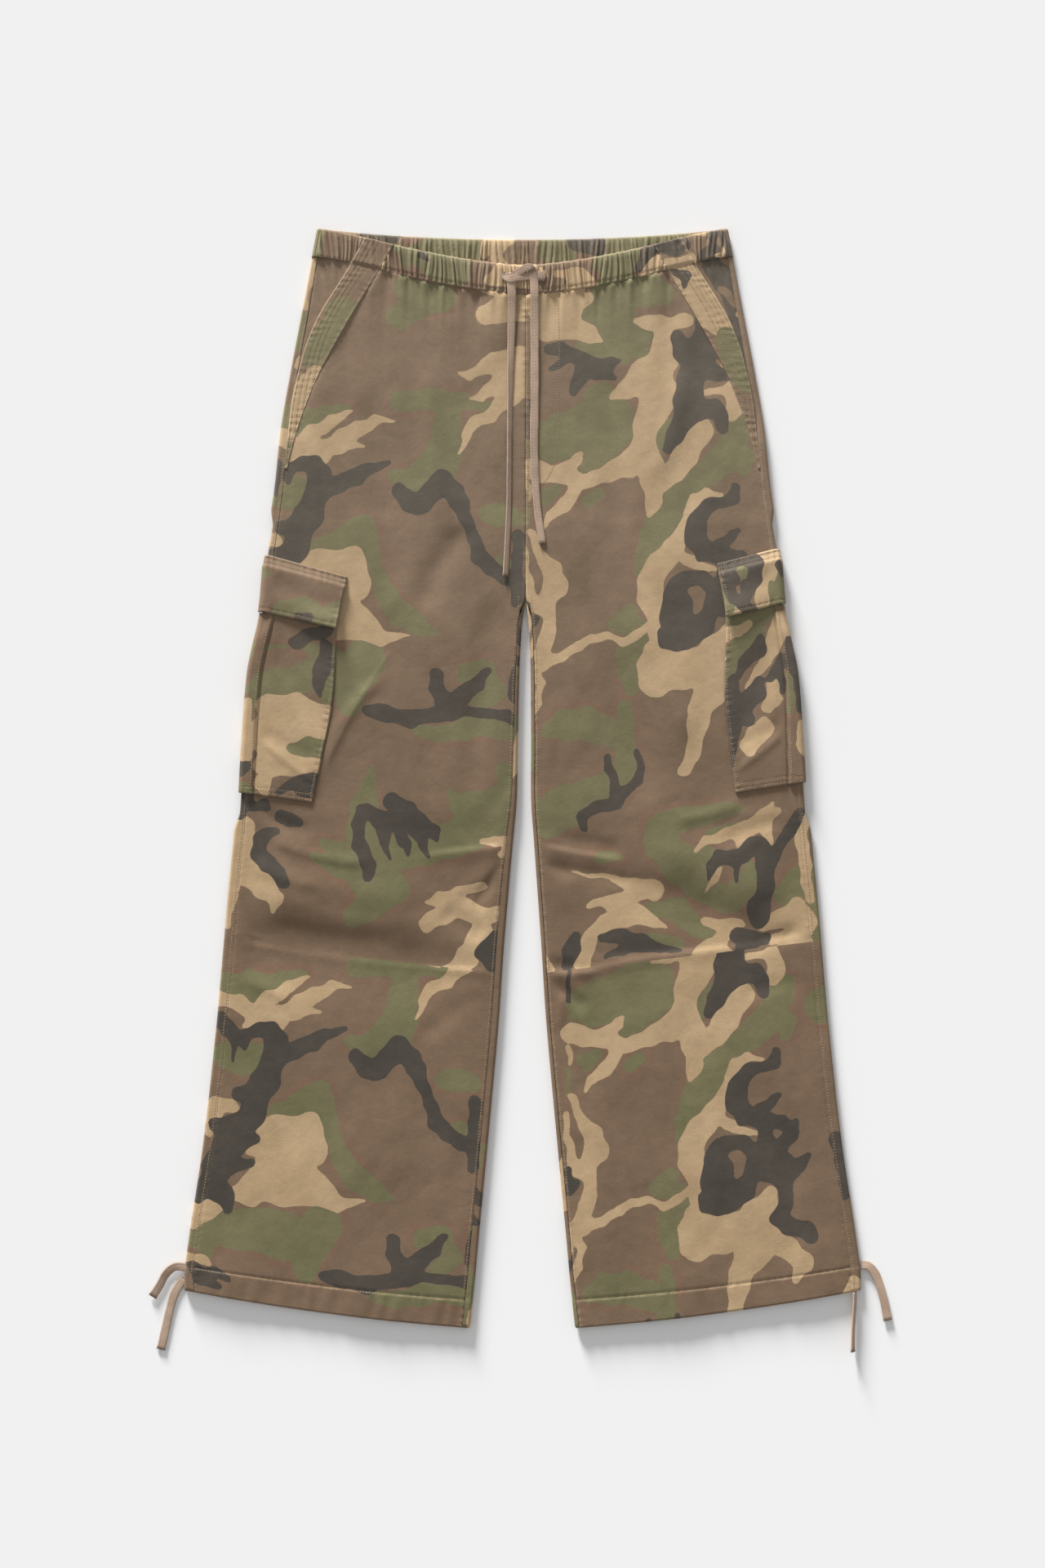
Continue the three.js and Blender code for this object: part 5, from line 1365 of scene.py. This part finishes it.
# The cargo pockets: flat bags of the same cotton, sewn round the side of each thigh. A box
# pleat runs down the middle of each, at the garment's edge, and throws a shadow along it.
POCKET_WALL = 2
POCKET_TUCK = 14
PLEAT_RISE = 1.9
PLEAT_HALF = {-1: (8.6, 9.2), 1: (4.5, 12)}
POCKET_PRINT = {
    -1: (
        ("green", (((308, 770, 5), (303, 800, 8)), ((325, 838, 16), (360, 834, 18), (392, 822, 20),
            (405, 800, 10), (400, 790, 8)),
                   ((380, 800, 12), (405, 850, 14)), ((309, 845, 7), (312, 866, 4)),
                   ((325, 794, 3), (352, 793, 3)))),
        ("brown", (((300, 820, 6), (306, 828, 6)), ((340, 806, 11), (368, 802, 9)))),
        ("tan", (((303, 862, 6), (300, 900, 10), (300, 925, 9)),
            ((330, 866, 16), (362, 868, 18), (392, 882, 20)),
                 ((335, 900, 28), (378, 900, 28)), ((330, 935, 18), (355, 930, 18), (385, 935, 14)),
                 ((322, 960, 12), (325, 972, 5)))),
        ("green", (((361, 916, 8), (378, 914, 11), (400, 920, 13)),)),
        ("charcoal", (((400, 790, 7), (397, 815, 11), (391, 838, 8), (391, 852, 2)),
            ((363, 786, 9), (385, 777, 8), (402, 772, 8)),
                      ((296, 942, 8), (305, 938, 6)), ((342, 968, 4), (362, 959, 9), (385, 957, 10),
                          (372, 968, 9), (396, 952, 5)))),
        ("green", (((298, 962, 7), (306, 968, 6)), ((388, 978, 6), (392, 972, 3)))),
    ),
    1: (
        ("green", (((892, 760, 10), (940, 752, 10)), ((890, 802, 10), (908, 790, 12), (930, 775, 10)),
            ((890, 825, 8), (905, 815, 9), (900, 842, 3)),
                   ((970, 830, 8), (968, 870, 5)))),
        ("tan", (((886, 778, 8), (900, 775, 7), (918, 764, 5)), ((885, 806, 3), (888, 806, 3)),
            ((955, 755, 8), (952, 775, 10), (944, 795, 9), (930, 820, 5), (915, 840, 3), (910, 851, 1.5)),
                 ((962, 755, 8), (970, 785, 7), (972, 800, 3)),
                 ((950, 825, 8), (946, 850, 8), (938, 868, 7)), ((950, 858, 6), (957, 855, 2)),
                 ((979, 885, 4), (981, 910, 6), (984, 925, 2)))),
        ("charcoal", (((932, 782, 6), (928, 795, 9), (912, 812, 8), (904, 830, 4)),
            ((896, 832, 6), (896, 860, 10), (897, 890, 9), (896, 915, 7), (897, 938, 1.5)),
                      ((930, 835, 8), (925, 850, 12), (905, 865, 14), (915, 880, 10)),
                      ((956, 803, 4), (950, 820, 7), (944, 832, 5)), ((957, 815, 4), (957, 846, 4)),
                      ((964, 785, 5), (972, 815, 9), (978, 840, 6), (983, 870, 6), (986, 885, 3)))),
        ("tan", (((934, 888, 9), (940, 892, 8), (925, 900, 12), (916, 914, 10), (918, 922, 6)),)),
    ),
}


def pocket_grid(side, down, wall, lift, drop, pleat, half):
    """Points of a pocket or flap wrapped round the side: middle of the cloth, facing, the pleat's
    rise, and the way along the cloth from the fold. Down is each row's height at the outline."""
    table = POCKET_ROWS[side]
    rows = len(down)
    columns = []
    front_shares = edge_steps(60, (0.25, 0.3, 0.4, 0.6, 0.8))
    for share in front_shares:
        edge = down - drop * smooth((share - 0.75) / 0.25)
        centre = along(STATIONS, OUTLINE, edge) - POCKET_REACH
        x = mix(along(table, POCKET_INNER, edge), centre, share)
        y = edge - along(table, POCKET_SLOPE, edge) * (centre - x)
        pleat_up = pleat * smooth((x - (centre - half) + 0.8) / 1.4)
        ones = np.ones(rows)
        columns.append((x, y, front_z(side, x, y) + lift, np.pi / 2 * ones, pleat_up * ones, x - centre))
    edge = down - drop
    centre = along(STATIONS, OUTLINE, edge) - POCKET_REACH
    high = FRONT_MID + 0.5 + lift
    rest = wall / 2 + 0.3
    radius = (high - rest) / 2
    for share in np.linspace(0, 1, 15)[1:]:
        facing = np.pi / 2 - np.pi * share
        z = rest + radius + radius * np.sin(facing)
        pleat_up = pleat * (1 - smooth(2 * share)) * np.ones(rows)
        along_cloth = np.pi * radius * share
        columns.append(
            (centre + radius * np.cos(facing), edge, z, facing * np.ones(rows), pleat_up,
             along_cloth + 0 * edge)
        )
    slope = along(table, POCKET_SLOPE, edge)
    back_width = POCKET_WIDTH - (along(STATIONS, OUTLINE, edge) - along(table, POCKET_INNER, edge))
    for share in np.linspace(0, 1, 27)[1:]:
        x = centre - back_width * share
        y = edge + slope * back_width * share
        columns.append(
            (x, y, rest + 0 * x, -np.pi / 2 * np.ones(rows), 0 * x, np.pi * radius + back_width * share)
        )
    return [np.stack([np.broadcast_to(c[k], (rows,)) for c in columns], axis=1) for k in range(6)]


def bag_print(chart, side, x, way, place_x, y, shift):
    """The charted print on the front, and another cut of the same cloth on the underside. Way is
    the distance along the cloth from the fold at the side."""
    shown = casing_print(chart, np.where(way > 0, side * (x[:, 60:61] + way), place_x), y)
    hidden = back_print(side, place_x, y, shift)
    return {ink: np.where(way > 9, hidden[ink], shown[ink]) for ink in INKS}


def cargo_pocket(side):
    table = POCKET_ROWS[side]
    top, end = table[0, 0] - POCKET_TUCK, table[-1, 0]
    share = np.concatenate([np.linspace(0, 0.96, 124, endpoint=False), np.linspace(0.96, 1, 9)])
    down = mix(top, end, share)
    under = mix(table[1, 0] - 0.8, end, share)
    lift = CLOTH / 2 + 0.3 + POCKET_WALL / 2
    pleat = PLEAT_RISE * smooth(share * 6)
    half = mix(*PLEAT_HALF[side], share)
    x, y, z, facing, raised, way = pocket_grid(side, down, POCKET_WALL, lift, down - under, pleat, half)
    share, half = share[:, None] + 0 * x, half[:, None]
    front = facing > 1.5
    inner_edge = x - x[:, :1]
    height = (1 - share) * (top - end)
    sag = (
        0.5 * np.sin(share * 5 + inner_edge / 17) * np.sin(inner_edge / 23)
        + 0.35 * np.sin(inner_edge / 9 + share * 14)
    )
    crease = (
        0.9 * bell(height - 20 - inner_edge * 0.55, 5) - 0.7 * bell(height - 44 - inner_edge * 0.3, 7)
    )
    inside = smooth(inner_edge / 14) * smooth((-way - 12) / 12) * smooth(height / 14) * smooth(share * 9)
    sag = (sag + crease) * inside
    stitched = seam_pucker(height * 1.1, inner_edge - 3, 0.35) * front
    rims = -0.9 * bell(inner_edge, 0.8) * front - 0.9 * bell(height, 0.9)
    groove = (-1.6 if side > 0 else -1.2) * bell(way + half + 1, 1.1) * front * smooth(share * 6)
    for line in (inner_edge - 3, way + half - 2, height - 3.5, height - 8):
        groove = groove - 0.3 * bell(line, 0.8) * front
    out = POCKET_WALL / 2 - 0.2 + raised + (sag + stitched + groove) * front + rims
    out = out + seam_pucker(way, height - 4, 0.25) * front

    outer = shell_at(side, x, y, z, facing, out)
    marks = bag_print(POCKET_PRINT[side], side, x, way, outer[:, :, 0], y, (-150 * side, 260))
    edges = bell(inner_edge - 1.2, 1.1) * front + bell(height - 1.4, 1.2)
    pleat_edge = bell(way + half - 0.8, 0.9) * front
    marks["worn"] = 0.5 * edges + 0.25 * pleat_edge + 0.25 * bell(way - 5, 4)
    name = SIDE_NAME[side]
    inner = shell_at(side, x, y, z, facing, -POCKET_WALL / 2 + 0.1)
    piece = cloth(f"cargo_pocket_{name}_cloth", outer, inner, marks)
    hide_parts(f"cargo_pocket_{name}")


for side in (-1, 1):
    cargo_pocket(side)

# The flaps over the cargo pockets: two layers of the same cotton, sewn to the leg along the top
# edge with a raised seam, and loose below, so that each throws a shadow on its bag.
FLAP_PRINT = {
    -1: (
        ("green", (((345, 746, 10), (372, 744, 12), (400, 752, 14), (412, 745, 8)),
            ((320, 690, 5), (326, 704, 6)), ((405, 765, 8), (385, 764, 6)))),
        ("brown", (((395, 738, 5), (405, 735, 4)),)),
        ("charcoal", (((370, 760, 9), (378, 757, 7)),)),
    ),
    1: (
        ("tan", (((938, 676, 12), (945, 690, 12), (938, 710, 11), (933, 735, 9), (930, 752, 7)),
            ((900, 752, 7), (906, 748, 6)))),
        ("green", (((948, 745, 9), (955, 722, 7), (958, 700, 6)),
            ((884, 715, 5), (886, 740, 6), (892, 745, 9)), ((944, 715, 3), (946, 735, 4)))),
        ("charcoal", (((885, 688, 10), (905, 685, 12), (922, 690, 11), (924, 708, 9), (915, 722, 9),
            (908, 738, 7), (917, 748, 8)), ((890, 715, 8), (897, 735, 6)),
                      ((890, 700, 10), (900, 712, 6)), ((952, 690, 4), (958, 705, 3)))),
        ("green", (((909, 702, 7), (911, 707, 5)),)),
    ),
}


def cargo_flap(side):
    table = POCKET_ROWS[side]
    tall = table[0, 0] - table[1, 0]
    run = np.concatenate(
        [np.linspace(0, 10, 13, endpoint=False), np.linspace(10, tall - 3, 40, endpoint=False),
         np.linspace(tall - 3, tall, 8)]
    )
    down = table[0, 0] - run
    ramp = smooth((run - 3) / (POCKET_TUCK - 5))
    lift = mix(1.9, 4.2 + 1.0, ramp)
    x, y, z, facing, raised, way = pocket_grid(side, down, CLOTH, lift, 0 * down, 0 * down, 10)
    run = run[:, None] + 0 * x
    front = facing > 1.5
    inner_edge = x - x[:, :1]
    hem = tall - run
    ridge = 0.55 * smooth((7.5 - run) / 1.5) * smooth((run + 0.2) / 1.2)
    rims = -0.8 * bell(run, 0.8) - 0.7 * bell(hem, 0.8) - 0.9 * bell(inner_edge, 0.8) * front
    stitched = seam_pucker(x, run - 2.5, 0.5) + seam_pucker(x, run - 8.5, 0.4)
    for line in (run - 2.5, run - 8.5, hem - 4, inner_edge - 3.5):
        stitched = stitched - 0.35 * bell(line, 0.8)
    stitched = (
        stitched + seam_pucker(x + 9, hem - 4, 0.22) + seam_pucker(y, inner_edge - 3.5, 0.25) * front
    )
    sag = (
        0.6 * np.sin(x / 15 + 1) * smooth((run - 12) / 16)
        + 0.35 * np.sin(run / 5 + x / 40) * smooth(run / 12)
    )
    lifted = 3.0 * bell(hem, 16) * smooth((60 - inner_edge) / 55) * front
    upper = smooth(0.5 + facing / np.pi)
    out = CLOTH / 2 + rims + (ridge + stitched) * upper + (sag + lifted) * front * smooth((-way - 2) / 10)

    outer = shell_at(side, x, y, z, facing, out)
    marks = bag_print(FLAP_PRINT[side], side, x, way, outer[:, :, 0], y, (40 * side, 420))
    edges = bell(inner_edge - 1.2, 1.1) * front + bell(hem - 1.2, 1.1)
    marks["worn"] = 0.5 * edges + 0.2 * bell(run - 1, 1) + 0.12 * bell(run - 6.5, 1.2)
    name = SIDE_NAME[side]
    inner = shell_at(side, x, y, z, facing, -CLOTH / 2 + 0.1 + lifted * 0.9 * front)
    piece = cloth(f"cargo_flap_{name}_cloth", outer, inner, marks)
    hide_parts(f"cargo_flap_{name}")


for side in (-1, 1):
    cargo_flap(side)

# The sewing: rows of khaki lockstitch along every seam, edge and hem. The stitches of each
# group are one joined mesh of small lozenges, set on the finished cloth under them.
THREAD_HALF = 0.36
# from one stitch to the next, and the length of a stitch
PLAIN_STITCH = (2.9, 2.0)
FINE_STITCH = (2.4, 1.7)
# the share of the casing's height at which it is sewn to the panels' top
CASING_SEWN = 0.11


def thread_material():
    """Matt cotton thread, a shade paler than the cloth, its colour a little uneven."""
    finish = bpy.data.materials.new("khaki sewing thread")
    finish.use_nodes = True
    tree = finish.node_tree
    shader = tree.nodes["Principled BSDF"]
    place = add_node(tree, "ShaderNodeTexCoord").outputs["Object"]
    shade = spread(tree, noise(tree, place, 160, 2), 0.3, 0.7)
    base = blend_colours(tree, shade, colour(130, 110, 87), colour(163, 141, 115))
    tree.links.new(base, shader.inputs["Base Color"])
    shader.inputs["Roughness"].default_value = 0.8
    shader.inputs["Specular IOR Level"].default_value = 0.25
    shader.inputs["Sheen Weight"].default_value = 0.15
    return finish


thread_finish = thread_material()
cloth_shapes = bpy.context.evaluated_depsgraph_get()
cloth_trees = {}


def on_cloth(piece_name, x, y, below=False):
    """The point on a piece's top, or on its underside, at a place in millimetres."""
    if piece_name not in cloth_trees:
        piece = bpy.data.objects[piece_name + "_cloth"].evaluated_get(cloth_shapes)
        cloth_trees[piece_name] = BVHTree.FromObject(piece, cloth_shapes)
    start, way = ((x, y, -20), (0, 0, 1)) if below else ((x, y, 40), (0, 0, -1))
    hit, normal, _, _ = cloth_trees[piece_name].ray_cast(
        mathutils.Vector(start) / 1000, mathutils.Vector(way)
    )
    if hit is None:
        return None
    return np.array(hit) * 1000, np.array(normal)


def stitch(ends, normal):
    """Corners of one stitch: a lozenge that dives into the cloth at both ends."""
    first, last = ends
    way = last - first
    length = np.linalg.norm(way)
    way = way / length
    across = np.cross(normal / np.linalg.norm(normal), way)
    up = np.cross(way, across)
    middle = (first + last) / 2
    corners = [first - 0.1 * up]
    for share in (-0.27, 0.27):
        for sideways, high in ((1, 0.1), (0, 0.55), (-1, 0.1), (0, -0.8)):
            corners.append(
                middle + share * length * way + THREAD_HALF * (sideways * across + high * up) + 0.06 * up
            )
    corners.append(last - 0.1 * up)
    return corners


STITCH_FACES = (
    [(0, 1 + (n + 1) % 4, 1 + n) for n in range(4)]
    + [(1 + n, 1 + (n + 1) % 4, 5 + (n + 1) % 4, 5 + n) for n in range(4)]
    + [(9, 5 + n, 5 + (n + 1) % 4) for n in range(4)]
)


def sewing(name, rows):
    """Rows of stitches as one mesh; a row is the piece's name, its places, and the options."""
    corners, faces = [], []
    for piece_name, places, below, gap, length in rows:
        if len(places) > 2:
            line = smooth_line([(x, y, 0) for x, y in places], 0.5)
        else:
            line = np.array(places, float)
            share = np.linspace(0, 1, max(2, int(np.hypot(*(line[1] - line[0])) / 0.5)))[:, None]
            line = mix(line[0], line[1], share)
        way = np.concatenate([[0], np.hypot(*np.diff(line, axis=0).T).cumsum()])
        for start in np.arange(0.4, way[-1] - length, gap):
            ends = []
            for place in (start, start + length):
                x, y = np.interp(place, way, line[:, 0]), np.interp(place, way, line[:, 1])
                ends.append(on_cloth(piece_name, x, y, below))
            if None in ends or abs(ends[0][0][2] - ends[1][0][2]) > 1.5:
                continue
            first = len(corners)
            corners += stitch((ends[0][0], ends[1][0]), ends[0][1] + ends[1][1])
            faces += [[first + n for n in face] for face in STITCH_FACES]
    mesh = bpy.data.meshes.new(name)
    mesh.from_pydata([tuple(c / 1000) for c in corners], [], faces)
    mesh.materials.append(thread_finish)
    piece = bpy.data.objects.new(name, mesh)
    bpy.context.collection.objects.link(piece)
    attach(piece, "root")


def leg_row(side, x, y):
    return list(zip(world_x(side, x, y), y))


def leg_seams(side):
    name = SIDE_NAME[side]
    front, back = f"front_leg_{name}", f"back_leg_{name}"
    x = np.linspace(
        along(STATIONS, INNER, HEM_Y) + inseam_in(side, HEM_Y) + 1, side_seam(HEM_Y + 20) - 0.5, 60
    )
    hem = leg_row(side, x, row_y(x, HEM_Y + HEM_DEPTH + 0 * x, 0, FRONT_TOP))
    x = np.linspace(along(STATIONS, INNER, HEM_Y) + 6, side_seam(HEM_Y + 20) + 3, 60)
    under = leg_row(side, x, row_y(x, HEM_Y + HEM_DEPTH + 0 * x, 1, BACK_TOP))
    y = np.linspace(176, HEM_Y + 30, 60)
    inseam = leg_row(side, along(STATIONS, INNER, y) + inseam_in(side, y) + 2.3, y)
    y = np.linspace(HEM_Y + 30, -32, 50)
    low = leg_row(side, side_seam(y) + 2.4, y)
    y = np.linspace(226, 318, 12)
    high = leg_row(side, side_seam(y) + 2.4, y)
    rows = [
        (front, hem, False, *PLAIN_STITCH), (back, under, True, *PLAIN_STITCH),
        (front, inseam, False, *PLAIN_STITCH), (back, low, False, *PLAIN_STITCH),
        (back, high, False, *PLAIN_STITCH),
    ]
    sewing(f"leg_{name}_stitches", rows)


def waist_rows():
    rows = []
    for side in (-1, 1):
        name = SIDE_NAME[side]
        x = np.linspace(1, along(BAND_STATIONS, BAND_FRONT, WAIST_FRONT_Y - 20) - 1, 40)
        y = waist_line(x, 0) - FRONT_CASING * (1 - CASING_SEWN)
        rows.append(("waist_casing_front", leg_row(side, x, y), False, *FINE_STITCH))
        x = np.linspace(along(BAND_STATIONS, BAND_MOUTH, WAIST_FRONT_Y - 10) + 3, 196, 12)
        y = waist_line(x, 0) - FRONT_CASING * (1 - CASING_SEWN)
        rows.append(("waist_casing_back", leg_row(side, x, y), False, *FINE_STITCH))
        x = np.linspace(0, 190, 40)
        y = waist_line(x, 1) - BACK_CASING * (1 - CASING_SEWN)
        rows.append(("waist_casing_back", leg_row(side, x, y), True, *FINE_STITCH))
        low, high = WAIST_FRONT_Y - 29, BAND_END_Y + 3
        y = np.linspace(WAIST_FRONT_Y - 4, high, 60)
        for inset in (2.4, 7.4, 12.4, 17.4):
            x = along(BAND_STATIONS, BAND_MOUTH, y) - inset
            rows.append((f"pocket_band_{name}", leg_row(side, x, y), False, 2.6, 1.8))
        x = along(BAND_STATIONS, BAND_FRONT, y) + 2.2
        rows.append((f"pocket_band_{name}", leg_row(side, x, y), False, 2.8, 1.9))
        x = np.linspace(
            along(BAND_STATIONS, BAND_FRONT, low) + 1, along(BAND_STATIONS, BAND_MOUTH, low) - 1, 6
        )
        rows.append((f"pocket_band_{name}", leg_row(side, x, waist_line(x, 0) - 28), False, *FINE_STITCH))
    sewing("waist_and_band_stitches", rows)


def cargo_rows(side):
    name = SIDE_NAME[side]
    bag, flap = f"cargo_pocket_{name}", f"cargo_flap_{name}"
    table = POCKET_ROWS[side]

    def row(edge, x):
        centre = along(STATIONS, OUTLINE, edge) - POCKET_REACH
        return leg_row(side, x, edge - along(table, POCKET_SLOPE, edge) * (centre - x))

    rows = []
    top, low, end = table[0, 0], table[1, 0], table[-1, 0]
    edge = np.linspace(low - 3, end + 3, 40)
    rows.append((bag, row(edge, along(table, POCKET_INNER, edge) + 3), False, *PLAIN_STITCH))
    centre = along(STATIONS, OUTLINE, edge) - POCKET_REACH
    rows.append(
        (bag, row(edge, centre - mix(*PLEAT_HALF[side], (low - edge) / (low - end)) + 2), False,
         *PLAIN_STITCH)
    )
    for rise in (3.5, 8.0):
        edge = np.linspace(end + rise, end + rise, 20)
        centre = along(STATIONS, OUTLINE, edge) - POCKET_REACH
        x = np.linspace(along(table, POCKET_INNER, end) + 2, centre[0] + 2, 20)
        rows.append((bag, row(edge, x), False, *PLAIN_STITCH))
    for drop in (2.5, 8.5, top - low - 4):
        edge = np.linspace(top - drop, top - drop, 20)
        centre = along(STATIONS, OUTLINE, edge) - POCKET_REACH
        x = np.linspace(along(table, POCKET_INNER, edge[0]) + 2.5, centre[0] + 2, 20)
        rows.append((flap, row(edge, x), False, *PLAIN_STITCH))
    edge = np.linspace(top - 3, low + 4, 20)
    rows.append((flap, row(edge, along(table, POCKET_INNER, edge) + 3.5), False, *PLAIN_STITCH))
    back_y = np.linspace(top - 20, end + 5, 40)
    reach = np.array(
        [POCKET_WIDTH - (along(STATIONS, OUTLINE, y) - along(table, POCKET_INNER, y)) for y in back_y]
    )
    slope = along(table, POCKET_SLOPE, back_y)
    x = along(STATIONS, OUTLINE, back_y) - POCKET_REACH - reach + 3
    rows.append((bag, leg_row(side, x, back_y + slope * (reach - 3)), True, *PLAIN_STITCH))
    sewing(f"cargo_{name}_stitches", rows)


def fly_rows():
    y = np.linspace(464, 205, 60)
    seam = [(CENTRE_SHIFT + 1.9 + 0.3 * math.sin(v / 19), v) for v in y]
    curve = [
        (34.5, 462), (35.3, 430), (35.5, 395), (35, 350), (33.5, 318), (28, 296), (18, 282), (8, 274)
    ]
    rows = [("front_leg_left", seam, False, 2.6, 1.8), ("front_leg_left", curve, False, 2.6, 1.8)]
    for v in np.arange(362, 262, -1.9):
        rows.append(
            ("front_leg_left", [(CENTRE_SHIFT + 0.6, v), (CENTRE_SHIFT + 4.8, v + 0.4)], False, 9, 3.2)
        )
    for v in np.arange(372, 378, 0.8):
        rows.append(
            ("front_leg_left", [(CENTRE_SHIFT + 0.4, v), (CENTRE_SHIFT + 5, v - 0.3)], False, 9, 3.4)
        )
    for middle_x in (-14.2, 17.3):
        for n in range(22):
            turn = 2 * math.pi * n / 22
            out = np.array([math.cos(turn), math.sin(turn)])
            middle = np.array([middle_x, 479.0])
            near, far = middle + out * (1.3, 2.6), middle + out * (3.0, 4.4)
            rows.append(("waist_casing_front", [tuple(near), tuple(far)], False, 9, 0.75))
    sewing("fly_stitches", rows)


for side in (-1, 1):
    leg_seams(side)
waist_rows()
for side in (-1, 1):
    cargo_rows(side)
fly_rows()

bpy.context.view_layer.update()
